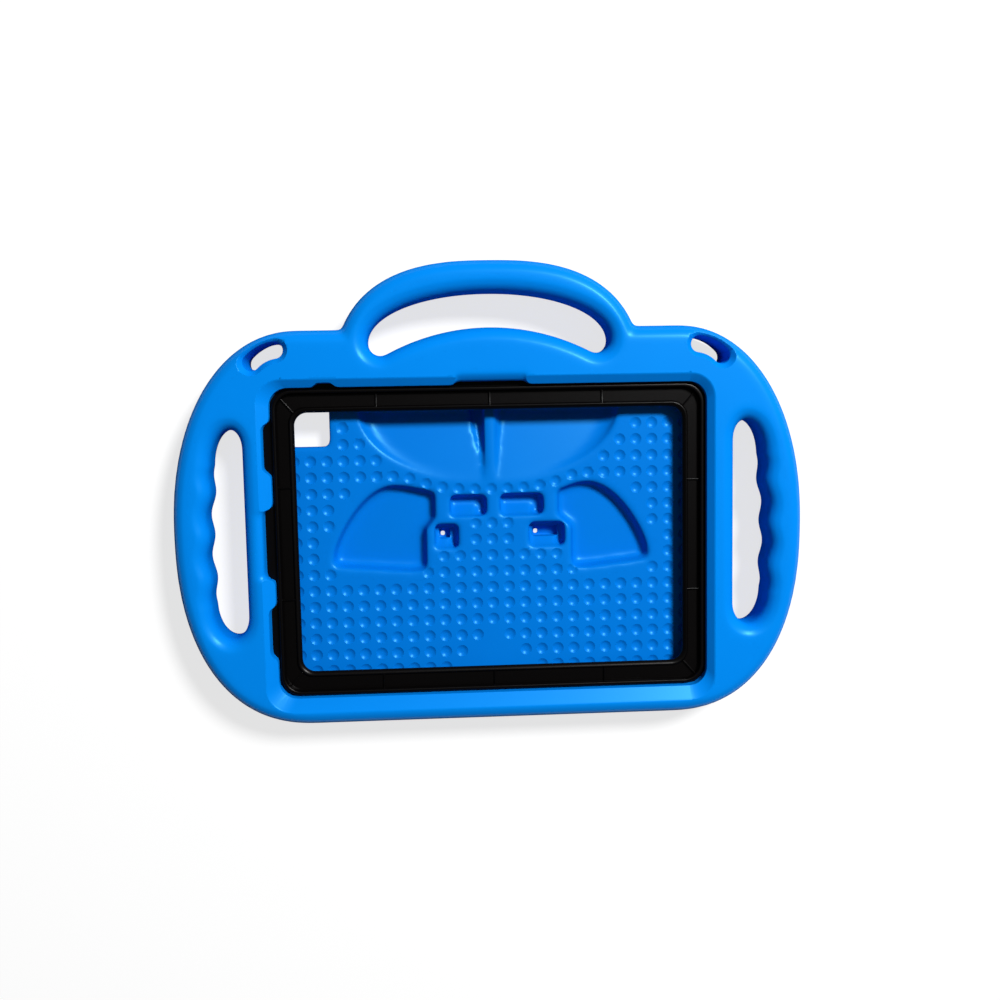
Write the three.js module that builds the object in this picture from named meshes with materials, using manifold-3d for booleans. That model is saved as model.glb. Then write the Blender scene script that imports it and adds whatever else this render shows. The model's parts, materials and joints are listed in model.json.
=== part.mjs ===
// A moulded foam carrying case for an 8.3 inch tablet, lying on its back with the screen side up.
// It is one soft foam shell with a carrying handle, two side grips and a tablet bay, and one rigid
// plastic frame that holds the tablet's edge and sits under the foam lip of the bay.
// Millimetres. +X to the right, +Y towards the carrying handle, +Z out of the screen side.
// The origin is the middle of the tablet bay, on the flat back face.

import * as THREE from "three";
import { mergeGeometries, mergeVertices } from "three/addons/utils/BufferGeometryUtils.js";
import Module from "manifold-3d";

const wasm = await Module();
wasm.setup();

// The tablet that the case is made for.
const TABLET_WIDTH = 195.4;
const TABLET_HEIGHT = 134.8;
const TABLET_THICKNESS = 6.3;
const TABLET_CORNER = 9;
const TABLET_CLEARANCE = 0.4;

// Foam shell, from the tablet outwards.
const BODY_THICKNESS = 27;
const FLOOR_THICKNESS = 11.5;
const SIDE_MARGIN = 47.5; // tablet's short edge to the outer side of the grip
const FOOT_MARGIN = 16.8; // tablet's lower edge to the foot of the case
const SHOULDER_MARGIN = 29.8; // tablet's upper edge to the shoulders
const SIDE_BELLY = 6; // height of the widest point above the middle of the bay
const UPPER_CORNER = { reach: 58.7, power: 2.13 };
const LOWER_CORNER = { reach: 62.4, power: 2.34 };
const EDGE_ROUND = 6.4;
const OPENING_ROUND = 5.4; // at both mouths of the handle and grip openings

// Carrying handle, from the shoulders.
const HANDLE_RISE = 30.4;
const HANDLE_BAR = 14.4;
const HANDLE_REACH = 70.7;
const HANDLE_ROOT = 27.8; // how far below the shoulders the handle's outline is centred
const HANDLE_POWER = 2.62;
const OPENING_REACH = 54.4;
const OPENING_FILLET = 5.8;
const OPENING_POWER = 2.05;
const DOME_RISE = 0.3; // crown of the opening's lower edge above the shoulders
const DOME_RADIUS = 106.5;

// Side grips, from the tablet's short edge.
const GRIP_WEB = 14.6;
const GRIP_HOLE = 19.9;
const GRIP_BOW = 260; // radius that the bar side of the opening bows out with
const GRIP_BOW_HEIGHT = -2;
const GRIP_TOP = 53.2;
const GRIP_BOTTOM = -42.9;
// Rounded ends of the opening: where the two quarter curves meet, and their lengths.
const GRIP_HEAD = { across: 5, inner: 9, outer: 17 };
const GRIP_FOOT = { across: 7.2, inner: 10, outer: 15 };
const FINGER_PITCH = 19.6;
const FINGER_DEPTH = 1.8;
const FINGER_HEIGHT = 14; // height of one finger valley above the middle of the bay

// Curved strap slots beyond the upper corners of the tablet, with a funnel round each mouth.
const SLOT_OFFSET = new THREE.Vector2(5.3, 18.6);
const SLOT_BEND = 18;
const SLOT_LENGTH = 18;
const SLOT_WIDTH = 6;
const SLOT_ANGLE = THREE.MathUtils.degToRad(63);
const FUNNEL_FLARE = 3.2;
const FUNNEL_DEPTH = 13;

// Rigid frame over the tablet's edge.
const FRAME_GAP = 0.3;
const GLASS_COVER_X = 8.6; // how far the frame reaches in over the glass, at the sides
const GLASS_COVER_Y = 7.35; // and at the top and the foot
const RIM_OUTSET_X = 0.7; // middle of the upstanding rim, outside the tablet's edge
const RIM_OUTSET_Y = 2.45;
const RIM_WIDTH = 1.6;
const RIM_CORNER = 8.4;
const RIM_HEIGHT = 3.9;
const RIM_CHAMFER = 0.4;
const RIM_DRAFT = 0.25; // how much wider each side of the rim is at its root
const WINDOW_CORNER = 6;
const CORNER_GROWTH = 0.6; // change in corner radius for each millimetre of inset
const FLANGE_WIDTH = 7;
const FLANGE_THICKNESS = 1.6;
const PLATE_THICKNESS = 0.9;
const BEVEL_WIDTH = 1.4;
const BEVEL_HEIGHT = 2.1;
const CREST_WIDTH = 0.6;
const RIB_THICKNESS = 0.8;
const RIB_SPACING_X = 52;
const RIB_OFFSET_Y = 26;
const RIB_DROP = 0.15; // below the crest
const CORNER_RIB_INSET = 1.6; // from the corner of the crest, along both sides
const CORNER_RIB_REACH = 2.6; // from the corner of the rim, along both sides

// Foam lip that overhangs the frame's flange, and its mouth.
const LIP_STANDOFF = 1.7; // between the middle of the frame's rim and the lip
const LIP_EDGE = 1.5;
const MOUTH_SLOPE_X = 3.9;
const MOUTH_SLOPE_Y = 4.5;
const MOUTH_DROP = 1.1; // the mouth's upper edge lies this much nearer the foot
const MOUTH_CORNER = 11;

// Notches in the lip for the tablet's buttons: middle, flat length, reach past the lip at its
// edge, and how much further they reach at the top.
const NOTCH_SLANT = 2.6;
const SIDE_NOTCHES = [
  { middle: 44.5, length: 19, reach: 2.4, slope: 0.6 },
  { middle: 0.4, length: 29, reach: 3.5, slope: 1 },
  { middle: -40.5, length: 20.5, reach: 2.4, slope: 0.6 },
];
const TOP_NOTCHES = [
  { middle: -75, length: 7.6, reach: 1.7, slope: 0.4 },
  { middle: 2, length: 28.5, reach: 1.5, slope: 3.1 },
];
const THUMB_RELIEF = { middle: 0.2, length: 32, reach: 9, drop: 3 };

// Camera window through the floor, from the tablet's upper left corner.
const CAMERA_INSET = 2.4;
const CAMERA_WIDTH = 20.7;
const CAMERA_HEIGHT = 20.9;
const CAMERA_CORNER = 3;

// Recesses moulded in the floor of the bay.
const DISH = { below: 5.4, reach: 61.2, drop: 36.4, depth: 6.5, wall: 4.5 };
const DISH_RIB = { left: -1.8, width: 7.6 };
const WING = {
  depth: 5.4,
  wall: 1.2,
  peak: new THREE.Vector2(41.8, 26),
  tip: new THREE.Vector2(75.8, -12.6),
  shoulder: 21.4, // top of the inner edge
  step: 9.5, // where the inner edge steps outwards
  ease: 5.5, // height of the slope between the two inner edges
  foot: -16,
  footRound: 6,
  tipRound: 5.4, // length of the tip's rounding, along the foot and up the arch
  tipRise: 1, // height of the tip above its neighbour on the foot
  tipLean: 1.2, // how far the arch has leant inwards at the end of that rounding
  bowShare: 0.3, // places of the arch's two guide points, from the tip to the peak
  shoulderShare: 0.7,
  bulge: new THREE.Vector2(5, 6), // of both guide points, off the straight line
};
const LEFT_WING = { upper: 26, lower: 30.4 }; // inner edges, from the middle of the bay
const RIGHT_WING = { upper: 31.2, lower: 37.6 };
const POCKET_DEPTH = 5.6;
const POCKET_CORNER = 1.5;
const POCKET_SLOT = { inset: 2, height: 5.2, rise: 1.5 }; // slot through the back
const POCKETS = [
  { left: -19.4, foot: 10, width: 17.2, height: 10, well: 5, slot: 0 },
  { left: 4.4, foot: 10, width: 20.4, height: 10.4, well: 5.4, slot: 0 },
  { left: -26.8, foot: -5, width: 11, height: 11.4, well: 4, slot: 5 },
  { left: 18, foot: -5, width: 16.8, height: 11.4, well: 4, slot: 12 },
];
const RAMP_LAND = 1; // depth of a pocket's ramp at the foot

// Shallow dimples in rows over the rest of the floor.
const DIMPLE = { pitch: 7.65, right: 0.3, up: -0.9, radius: 2.8, depth: 1.1, rise: 0.2, sides: 8 };
// Runs of dimples along each row, first and last column, counted from the middle of the bay.
const DIMPLE_ROWS = [
  { row: 7, runs: [[-9, -9], [9, 12]] },
  { row: 6, runs: [[-9, -8], [8, 12]] },
  { row: 5, runs: [[-12, -7], [7, 12]] },
  { row: 4, runs: [[-12, -6], [6, 12]] },
  { row: 3, runs: [[-12, -9], [9, 12]] },
  { row: 2, runs: [[-12, -10], [10, 12]] },
  { row: 1, runs: [[-12, -10], [-1, 1], [10, 12]] },
  { row: 0, runs: [[-12, -11], [-1, 1], [11, 12]] },
  { row: -1, runs: [[-12, -11], [-3, 4], [11, 12]] },
  { row: -2, runs: [[-12, -10], [-4, 5], [10, 12]] },
  { row: -3, runs: [[-12, 12]] },
  { row: -4, runs: [[-12, 12]] },
  { row: -5, runs: [[-12, 12]] },
  { row: -6, runs: [[-12, -1], [1, 12]] },
  { row: -7, runs: [[-12, -2], [2, 12]] },
  { row: -8, runs: [[-12, -3], [3, 12]] },
];
// One more row follows the lower edge of the dish.
const DIMPLE_ARC = { last: 5, middle: 22.9, rise: 5.9, power: 3 };

// Straight steps along each kind of curve.
const BODY_STEPS = 22;
const ARCH_STEPS = 16;
const DOME_STEPS = 10;
const CORNER_STEPS = 7;
const GRIP_END_STEPS = 6;
const GRIP_BAR_STEPS = 28;
const SLOT_STEPS = 6;
const WING_STEPS = 8;
const DISH_STEPS = 32;
const ROUND_STEPS = 3;

// Levels, from the back face up.
const LEDGE_Z = FLOOR_THICKNESS + TABLET_THICKNESS;
const FRAME_Z = LEDGE_Z + FRAME_GAP;
const FLANGE_TOP_Z = FRAME_Z + FLANGE_THICKNESS;
const LIP_Z = FLANGE_TOP_Z + FRAME_GAP;
const PAST = 1; // how far a cutter runs past the face it opens

// Half sizes of the outlines, from the tablet outwards.
const tabletX = TABLET_WIDTH / 2;
const tabletY = TABLET_HEIGHT / 2;
const bodyX = tabletX + SIDE_MARGIN;
const footY = -tabletY - FOOT_MARGIN;
const shoulderY = tabletY + SHOULDER_MARGIN;
const handleTopY = shoulderY + HANDLE_RISE;
const rimX = tabletX + RIM_OUTSET_X;
const rimY = tabletY + RIM_OUTSET_Y;

const foamBlue = new THREE.MeshStandardMaterial({
  color: 0x0a84ec,
  roughness: 0.55,
  metalness: 0,
});
const frameBlack = new THREE.MeshStandardMaterial({
  color: 0x0b0b0d,
  roughness: 0.35,
  metalness: 0,
});

// Solids and meshes

function solidOf(geometry) {
  const bare = geometry.clone();
  bare.deleteAttribute("normal");
  bare.deleteAttribute("uv");
  const merged = mergeVertices(bare, 1e-4);
  const vertProperties = new Float32Array(merged.attributes.position.array);
  const triVerts = new Uint32Array(merged.index.array);
  return new wasm.Manifold(
    new wasm.Mesh({ numProp: 3, vertProperties, triVerts }),
  );
}

function meshOf(solid, name, material) {
  const { vertProperties, triVerts } = solid.getMesh();
  const geometry = new THREE.BufferGeometry();
  geometry.setAttribute(
    "position",
    new THREE.BufferAttribute(vertProperties, 3),
  );
  geometry.setIndex(new THREE.BufferAttribute(triVerts, 1));
  geometry.computeVertexNormals();
  const mesh = new THREE.Mesh(geometry, material);
  mesh.name = name;
  return mesh;
}

// A closed solid through outlines of equal point counts, each a list of Vector3 that runs
// anticlockwise seen from above, from the lowest outline to the highest.
function loft(outlines) {
  const count = outlines[0].length;
  const positions = outlines.flat().flatMap((p) => [p.x, p.y, p.z]);
  const index = [];
  for (let level = 0; level + 1 < outlines.length; level++) {
    for (let i = 0; i < count; i++) {
      const a = level * count + i;
      const b = level * count + ((i + 1) % count);
      index.push(a, b, b + count, a, b + count, a + count);
    }
  }
  const cap = (outline) => THREE.ShapeUtils.triangulateShape(outline, []);
  const top = (outlines.length - 1) * count;
  for (const [a, b, c] of cap(outlines[0])) index.push(a, c, b);
  for (const [a, b, c] of cap(outlines.at(-1)))
    index.push(top + a, top + b, top + c);
  const geometry = new THREE.BufferGeometry();
  geometry.setAttribute(
    "position",
    new THREE.Float32BufferAttribute(positions, 3),
  );
  geometry.setIndex(index);
  return solidOf(geometry);
}

// A straight prism of a flat outline between two levels.
function prism(outline, low, high) {
  return loft([atLevel(outline, low), atLevel(outline, high)]);
}

// A wedge whose side view, in Y and Z, runs between two X positions.
function wedge(profile, left, right) {
  const geometry = new THREE.ExtrudeGeometry(new THREE.Shape(profile), {
    depth: right - left,
    bevelEnabled: false,
  });
  const axes = new THREE.Matrix4().makeBasis(
    new THREE.Vector3(0, 1, 0),
    new THREE.Vector3(0, 0, 1),
    new THREE.Vector3(1, 0, 0),
  );
  geometry.applyMatrix4(axes);
  geometry.translate(left, 0, 0);
  return solidOf(geometry);
}

// Outlines

function atLevel(outline, z) {
  return outline.map((p) => new THREE.Vector3(p.x, p.y, z));
}

function mirrored(outline) {
  return outline.map((p) => new THREE.Vector2(-p.x, p.y)).reverse();
}

// An anticlockwise outline grown outwards all round by a distance.
function grown(outline, distance) {
  return outline.map((p, i) => {
    const before = outline.at(i - 1);
    const after = outline[(i + 1) % outline.length];
    const outward = (a, b) => new THREE.Vector2(b.y - a.y, a.x - b.x).normalize();
    const first = outward(before, p);
    const bisector = first.clone().add(outward(p, after)).normalize();
    return p.clone().addScaledVector(bisector, distance / bisector.dot(first));
  });
}

// Part of a superellipse, from one angle to another, in steps.
function superArc(centre, reachX, reachY, power, from, to, steps) {
  const side = (value) => Math.sign(value) * Math.abs(value) ** (2 / power);
  return Array.from({ length: steps + 1 }, (_, i) => {
    const angle = from + ((to - from) * i) / steps;
    return new THREE.Vector2(
      centre.x + reachX * side(Math.cos(angle)),
      centre.y + reachY * side(Math.sin(angle)),
    );
  });
}

function roundedRectangle(halfX, halfY, corner, middle = { x: 0, y: 0 }) {
  const quarter = Math.PI / 2;
  return [0, 1, 2, 3].flatMap((turn) => {
    const signX = turn === 0 || turn === 3 ? 1 : -1;
    const signY = turn < 2 ? 1 : -1;
    const centre = {
      x: middle.x + signX * (halfX - corner),
      y: middle.y + signY * (halfY - corner),
    };
    const start = turn * quarter;
    return superArc(centre, corner, corner, 2, start, start + quarter, CORNER_STEPS);
  });
}

// Right half of the case outline and its mirror image, anticlockwise from the foot.
function bodyOutline() {
  const belly = SIDE_BELLY;
  const lower = superArc(
    { x: bodyX - LOWER_CORNER.reach, y: belly },
    LOWER_CORNER.reach,
    belly - footY,
    LOWER_CORNER.power,
    -Math.PI / 2,
    0,
    BODY_STEPS,
  );
  const upper = superArc(
    { x: bodyX - UPPER_CORNER.reach, y: belly },
    UPPER_CORNER.reach,
    shoulderY - belly,
    UPPER_CORNER.power,
    0,
    Math.PI / 2,
    BODY_STEPS,
  );
  const rise = HANDLE_ROOT + HANDLE_RISE;
  const start = Math.asin((HANDLE_ROOT / rise) ** (HANDLE_POWER / 2));
  const handle = superArc(
    { x: 0, y: shoulderY - HANDLE_ROOT },
    HANDLE_REACH,
    rise,
    HANDLE_POWER,
    start,
    Math.PI / 2,
    ARCH_STEPS,
  );
  const right = [...lower, ...upper.slice(1), ...handle];
  return [...right, ...mirrored(right).slice(1)];
}

// Finger opening under the handle: an arched top over the crowned edge of the body.
function handleOpening() {
  const domeCentre = shoulderY + DOME_RISE - DOME_RADIUS;
  const endX = OPENING_REACH - OPENING_FILLET;
  const endY =
    domeCentre + Math.sqrt((DOME_RADIUS + OPENING_FILLET) ** 2 - endX ** 2);
  const lean = Math.atan2(endY - domeCentre, endX);
  const dome = superArc(
    { x: 0, y: domeCentre },
    DOME_RADIUS,
    DOME_RADIUS,
    2,
    Math.PI / 2,
    lean,
    DOME_STEPS,
  );
  const end = superArc(
    { x: endX, y: endY },
    OPENING_FILLET,
    OPENING_FILLET,
    2,
    lean - Math.PI,
    0,
    CORNER_STEPS,
  );
  const arch = superArc(
    { x: 0, y: endY },
    OPENING_REACH,
    handleTopY - HANDLE_BAR - endY,
    OPENING_POWER,
    0,
    Math.PI / 2,
    ARCH_STEPS,
  );
  const right = [...dome, ...end.slice(1), ...arch.slice(1)];
  return [...right, ...mirrored(right).slice(1, -1)];
}

// Right grip opening: straight on the bay side, finger valleys on the bar side.
function gripOpening() {
  const inner = tabletX + GRIP_WEB;
  const outer = inner + GRIP_HOLE;
  const high = GRIP_TOP - GRIP_HEAD.outer;
  const low = GRIP_BOTTOM + GRIP_FOOT.outer;
  const valley = (y) =>
    outer -
    (y - GRIP_BOW_HEIGHT) ** 2 / (2 * GRIP_BOW) +
    (FINGER_DEPTH / 2) *
      Math.cos((2 * Math.PI * (y - FINGER_HEIGHT)) / FINGER_PITCH);
  const quarter = Math.PI / 2;
  // One quarter of an end, from its meeting point to the side at edgeX, starting at a turn.
  const end = (middleX, edgeX, y, rise, turn) =>
    superArc(
      { x: middleX, y },
      Math.abs(edgeX - middleX),
      rise,
      2,
      turn * quarter,
      (turn + 1) * quarter,
      GRIP_END_STEPS,
    );
  const footX = inner + GRIP_FOOT.across;
  const headX = inner + GRIP_HEAD.across;
  const bar = Array.from({ length: GRIP_BAR_STEPS - 1 }, (_, i) => {
    const y = low + ((high - low) * (i + 1)) / GRIP_BAR_STEPS;
    return new THREE.Vector2(valley(y), y);
  });
  return [
    ...end(footX, inner, GRIP_BOTTOM + GRIP_FOOT.inner, GRIP_FOOT.inner, 2),
    ...end(footX, valley(low), low, GRIP_FOOT.outer, 3).slice(1),
    ...bar,
    ...end(headX, valley(high), high, GRIP_HEAD.outer, 0),
    ...end(headX, inner, GRIP_TOP - GRIP_HEAD.inner, GRIP_HEAD.inner, 1).slice(1),
  ];
}

// Right strap slot, grown all round by a flare.
function slotOutline(flare) {
  const middle = new THREE.Vector2(tabletX, tabletY).add(SLOT_OFFSET);
  const centre = {
    x: middle.x - SLOT_BEND * Math.cos(SLOT_ANGLE),
    y: middle.y - SLOT_BEND * Math.sin(SLOT_ANGLE),
  };
  const half = SLOT_WIDTH / 2 + flare;
  const sweep = (SLOT_LENGTH - SLOT_WIDTH) / 2 / SLOT_BEND;
  const from = SLOT_ANGLE - sweep;
  const to = SLOT_ANGLE + sweep;
  const far = SLOT_BEND + half;
  const near = SLOT_BEND - half;
  const cap = (angle, start) => {
    const end = {
      x: centre.x + SLOT_BEND * Math.cos(angle),
      y: centre.y + SLOT_BEND * Math.sin(angle),
    };
    return superArc(end, half, half, 2, start, start + Math.PI, SLOT_STEPS);
  };
  return [
    ...superArc(centre, far, far, 2, from, to, SLOT_STEPS),
    ...cap(to, to).slice(1, -1),
    ...superArc(centre, near, near, 2, to, from, SLOT_STEPS),
    ...cap(from, from + Math.PI).slice(1, -1),
  ];
}

// A notch's four corners: slanted ends that close towards the lip. The flat end lies at reach.
function notchOutline({ middle, length }, lip, reach) {
  const half = length / 2;
  return [
    new THREE.Vector2(middle + half + NOTCH_SLANT, lip),
    new THREE.Vector2(middle + half, reach),
    new THREE.Vector2(middle - half, reach),
    new THREE.Vector2(middle - half - NOTCH_SLANT, lip),
  ];
}

// Right wing recess: an arched outer edge, a flat foot and a stepped inner edge.
function wingOutline({ upper, lower }) {
  const { peak, tip, foot, footRound, tipRound, bulge } = WING;
  const shape = new THREE.Shape();
  shape.moveTo(lower, WING.step - WING.ease);
  shape.lineTo(lower, foot + footRound);
  shape.quadraticCurveTo(lower, foot, lower + footRound, foot);
  shape.lineTo(tip.x - tipRound, tip.y - WING.tipRise);
  shape.quadraticCurveTo(tip.x, tip.y, tip.x - WING.tipLean, tip.y + tipRound);
  const bow = tip.clone().lerp(peak, WING.bowShare).add(bulge);
  const shoulder = tip.clone().lerp(peak, WING.shoulderShare).add(bulge);
  shape.bezierCurveTo(bow.x, bow.y, shoulder.x, peak.y, peak.x, peak.y);
  shape.lineTo(upper, WING.shoulder);
  shape.lineTo(upper, WING.step);
  return shape.getPoints(WING_STEPS);
}

// Foam shell

function foamBlank() {
  const geometry = new THREE.ExtrudeGeometry(new THREE.Shape(bodyOutline()), {
    depth: BODY_THICKNESS - 2 * EDGE_ROUND,
    bevelEnabled: true,
    bevelThickness: EDGE_ROUND,
    bevelSize: EDGE_ROUND,
    bevelOffset: -EDGE_ROUND,
    bevelSegments: ROUND_STEPS,
  });
  geometry.translate(0, 0, EDGE_ROUND);
  return solidOf(geometry);
}

// A finger opening right through the foam, rounded outwards at both mouths.
function openingCutter(outline) {
  const lower = Array.from({ length: ROUND_STEPS + 1 }, (_, i) => {
    const angle = ((Math.PI / 2) * i) / ROUND_STEPS;
    return {
      height: OPENING_ROUND * (1 - Math.cos(angle)),
      flare: OPENING_ROUND * (1 - Math.sin(angle)),
    };
  });
  lower.unshift({ height: -PAST, flare: OPENING_ROUND });
  const upper = lower
    .map(({ height, flare }) => ({ height: BODY_THICKNESS - height, flare }))
    .reverse();
  return loft(
    [...lower, ...upper].map(({ height, flare }) =>
      atLevel(grown(outline, flare), height),
    ),
  );
}

function openingCutters() {
  const grip = gripOpening();
  return [handleOpening(), grip, mirrored(grip)].map(openingCutter);
}

function bayCutters() {
  const bay = roundedRectangle(
    tabletX + TABLET_CLEARANCE,
    tabletY + TABLET_CLEARANCE,
    TABLET_CORNER,
  );
  const grooveReach = FLANGE_WIDTH + FRAME_GAP;
  const groove = roundedRectangle(
    rimX + grooveReach,
    rimY + grooveReach,
    RIM_CORNER + grooveReach / 2,
  );
  const lip = roundedRectangle(
    rimX + LIP_STANDOFF,
    rimY + LIP_STANDOFF,
    RIM_CORNER,
  );
  const mouth = roundedRectangle(
    rimX + LIP_STANDOFF + MOUTH_SLOPE_X,
    rimY + LIP_STANDOFF + MOUTH_SLOPE_Y,
    MOUTH_CORNER,
    { x: 0, y: -MOUTH_DROP },
  );
  return [
    prism(bay, FLOOR_THICKNESS, LEDGE_Z + PAST),
    prism(groove, LEDGE_Z, LIP_Z),
    loft([
      atLevel(lip, LIP_Z - PAST),
      atLevel(lip, LIP_Z + LIP_EDGE),
      atLevel(mouth, BODY_THICKNESS),
      atLevel(mouth, BODY_THICKNESS + PAST),
    ]),
  ];
}

function notchCutters() {
  const high = BODY_THICKNESS + PAST;
  const lipX = rimX + LIP_STANDOFF;
  const lipY = rimY + LIP_STANDOFF;
  const turned = (outline) => outline.map((p) => new THREE.Vector2(-p.y, p.x));
  const kept = (outline) => outline;
  const cutter = (notch, lip, turn) => {
    const outline = (out) => turn(notchOutline(notch, lip - PAST, lip + out));
    return loft([
      atLevel(outline(notch.reach), LIP_Z - PAST),
      atLevel(outline(notch.reach), LIP_Z + LIP_EDGE),
      atLevel(outline(notch.reach + notch.slope), BODY_THICKNESS),
      atLevel(outline(notch.reach + notch.slope), high),
    ]);
  };
  const { middle, length, reach, drop } = THUMB_RELIEF;
  const flat = { middle, length: length - NOTCH_SLANT };
  const relief = turned(notchOutline(flat, lipX - PAST, lipX + reach));
  const shallow = relief.map((p) => {
    const atLip = p.x > -lipX;
    return new THREE.Vector3(p.x, p.y, BODY_THICKNESS - (atLip ? drop : 0));
  });
  return [
    ...TOP_NOTCHES.map((notch) => cutter(notch, lipY, kept)),
    ...SIDE_NOTCHES.map((notch) => cutter(notch, lipX, turned)),
    loft([shallow, atLevel(relief, high)]),
  ];
}

function cameraCutter() {
  const middle = {
    x: -tabletX + CAMERA_INSET + CAMERA_WIDTH / 2,
    y: tabletY - CAMERA_INSET - CAMERA_HEIGHT / 2,
  };
  const window = roundedRectangle(
    CAMERA_WIDTH / 2,
    CAMERA_HEIGHT / 2,
    CAMERA_CORNER,
    middle,
  );
  return prism(window, -PAST, FLOOR_THICKNESS + PAST);
}

// Half dish that deepens towards the top of the bay, with a rib left standing in the middle.
function dishCutter() {
  const centre = { x: 0, y: tabletY - DISH.below };
  const edge = (inset) =>
    superArc(
      centre,
      DISH.reach - inset,
      DISH.drop - inset / 2,
      2,
      Math.PI,
      2 * Math.PI,
      DISH_STEPS,
    );
  const depthAt = (y) =>
    (DISH.depth * (y - centre.y + DISH.drop)) / DISH.drop;
  const floor = edge(DISH.wall).map(
    (p) =>
      new THREE.Vector3(p.x, p.y, FLOOR_THICKNESS - Math.max(depthAt(p.y), 0)),
  );
  const rim = edge(0);
  const dish = loft([
    floor,
    atLevel(rim, FLOOR_THICKNESS),
    atLevel(rim, FLOOR_THICKNESS + PAST),
  ]);
  const rib = wedge(
    [
      new THREE.Vector2(centre.y - DISH.drop - PAST, 0),
      new THREE.Vector2(centre.y + PAST, 0),
      new THREE.Vector2(centre.y + PAST, BODY_THICKNESS),
      new THREE.Vector2(centre.y - DISH.drop - PAST, BODY_THICKNESS),
    ],
    DISH_RIB.left,
    DISH_RIB.left + DISH_RIB.width,
  );
  return dish.subtract(rib);
}

function wingCutters() {
  const outlines = [wingOutline(RIGHT_WING), mirrored(wingOutline(LEFT_WING))];
  return outlines.map((outline) =>
    loft([
      atLevel(grown(outline, -WING.wall), FLOOR_THICKNESS - WING.depth),
      atLevel(outline, FLOOR_THICKNESS),
      atLevel(outline, FLOOR_THICKNESS + PAST),
    ]),
  );
}

// A pocket with a ramp beside its well, and in the lower pair a slot on through the back.
function pocketCutter({ left, foot, width, height, well, slot }) {
  const middle = { x: left + width / 2, y: foot + height / 2 };
  const outline = roundedRectangle(
    width / 2,
    height / 2,
    POCKET_CORNER,
    middle,
  );
  const bottom = FLOOR_THICKNESS - POCKET_DEPTH;
  const ramp = wedge(
    [
      new THREE.Vector2(foot - PAST, bottom - PAST),
      new THREE.Vector2(foot + height / 2, bottom - PAST),
      new THREE.Vector2(foot + height / 2, bottom),
      new THREE.Vector2(foot - PAST, FLOOR_THICKNESS - RAMP_LAND),
    ],
    left - PAST,
    left + width - well,
  );
  const pocket = prism(outline, bottom, FLOOR_THICKNESS + PAST).subtract(ramp);
  if (!slot) return pocket;
  const through = roundedRectangle(
    slot / 2,
    POCKET_SLOT.height / 2,
    POCKET_CORNER / 2,
    {
      x: left + POCKET_SLOT.inset + slot / 2,
      y: middle.y + POCKET_SLOT.rise,
    },
  );
  return pocket.add(prism(through, -PAST, FLOOR_THICKNESS + PAST));
}

function dimplePlaces() {
  const { pitch, right, up } = DIMPLE;
  const { last, middle, rise, power } = DIMPLE_ARC;
  const columns = (from, to) =>
    Array.from({ length: to - from + 1 }, (_, i) => from + i);
  const rows = DIMPLE_ROWS.flatMap(({ row, runs }) =>
    runs.flatMap(([from, to]) =>
      columns(from, to).map(
        (column) => new THREE.Vector2(column * pitch + right, row * pitch + up),
      ),
    ),
  );
  const arc = columns(-last, last).map((column) => {
    const share = Math.abs(column / last) ** power;
    return new THREE.Vector2(column * pitch + right, middle + rise * share);
  });
  return [...rows, ...arc];
}

// All the dimples as one cutter, each a shallow cone that opens upwards past the floor.
function dimpleCutter() {
  const { radius, depth, rise, sides } = DIMPLE;
  const height = depth + rise;
  const cones = dimplePlaces().map(({ x, y }) => {
    const cone = new THREE.ConeGeometry((radius * height) / depth, height, sides);
    cone.rotateX(-Math.PI / 2);
    cone.translate(x, y, FLOOR_THICKNESS + rise - height / 2);
    return cone;
  });
  return solidOf(mergeGeometries(cones));
}

function strapCutters() {
  const levels = (turn) => [
    atLevel(turn(slotOutline(0)), -PAST),
    atLevel(turn(slotOutline(0)), BODY_THICKNESS - FUNNEL_DEPTH),
    atLevel(
      turn(slotOutline(FUNNEL_FLARE / 2)),
      BODY_THICKNESS - FUNNEL_DEPTH / 3,
    ),
    atLevel(turn(slotOutline(FUNNEL_FLARE)), BODY_THICKNESS),
    atLevel(turn(slotOutline(FUNNEL_FLARE)), BODY_THICKNESS + PAST),
  ];
  return [(outline) => outline, mirrored].map((turn) => loft(levels(turn)));
}

function foamShell() {
  const cutters = [
    ...openingCutters(),
    ...bayCutters(),
    ...notchCutters(),
    cameraCutter(),
    dishCutter(),
    ...wingCutters(),
    ...POCKETS.map(pocketCutter),
    ...strapCutters(),
    dimpleCutter(),
  ];
  const solid = cutters.reduce(
    (body, cutter) => body.subtract(cutter),
    foamBlank(),
  );
  return meshOf(solid, "foam_shell", foamBlue);
}

// Rigid frame

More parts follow.
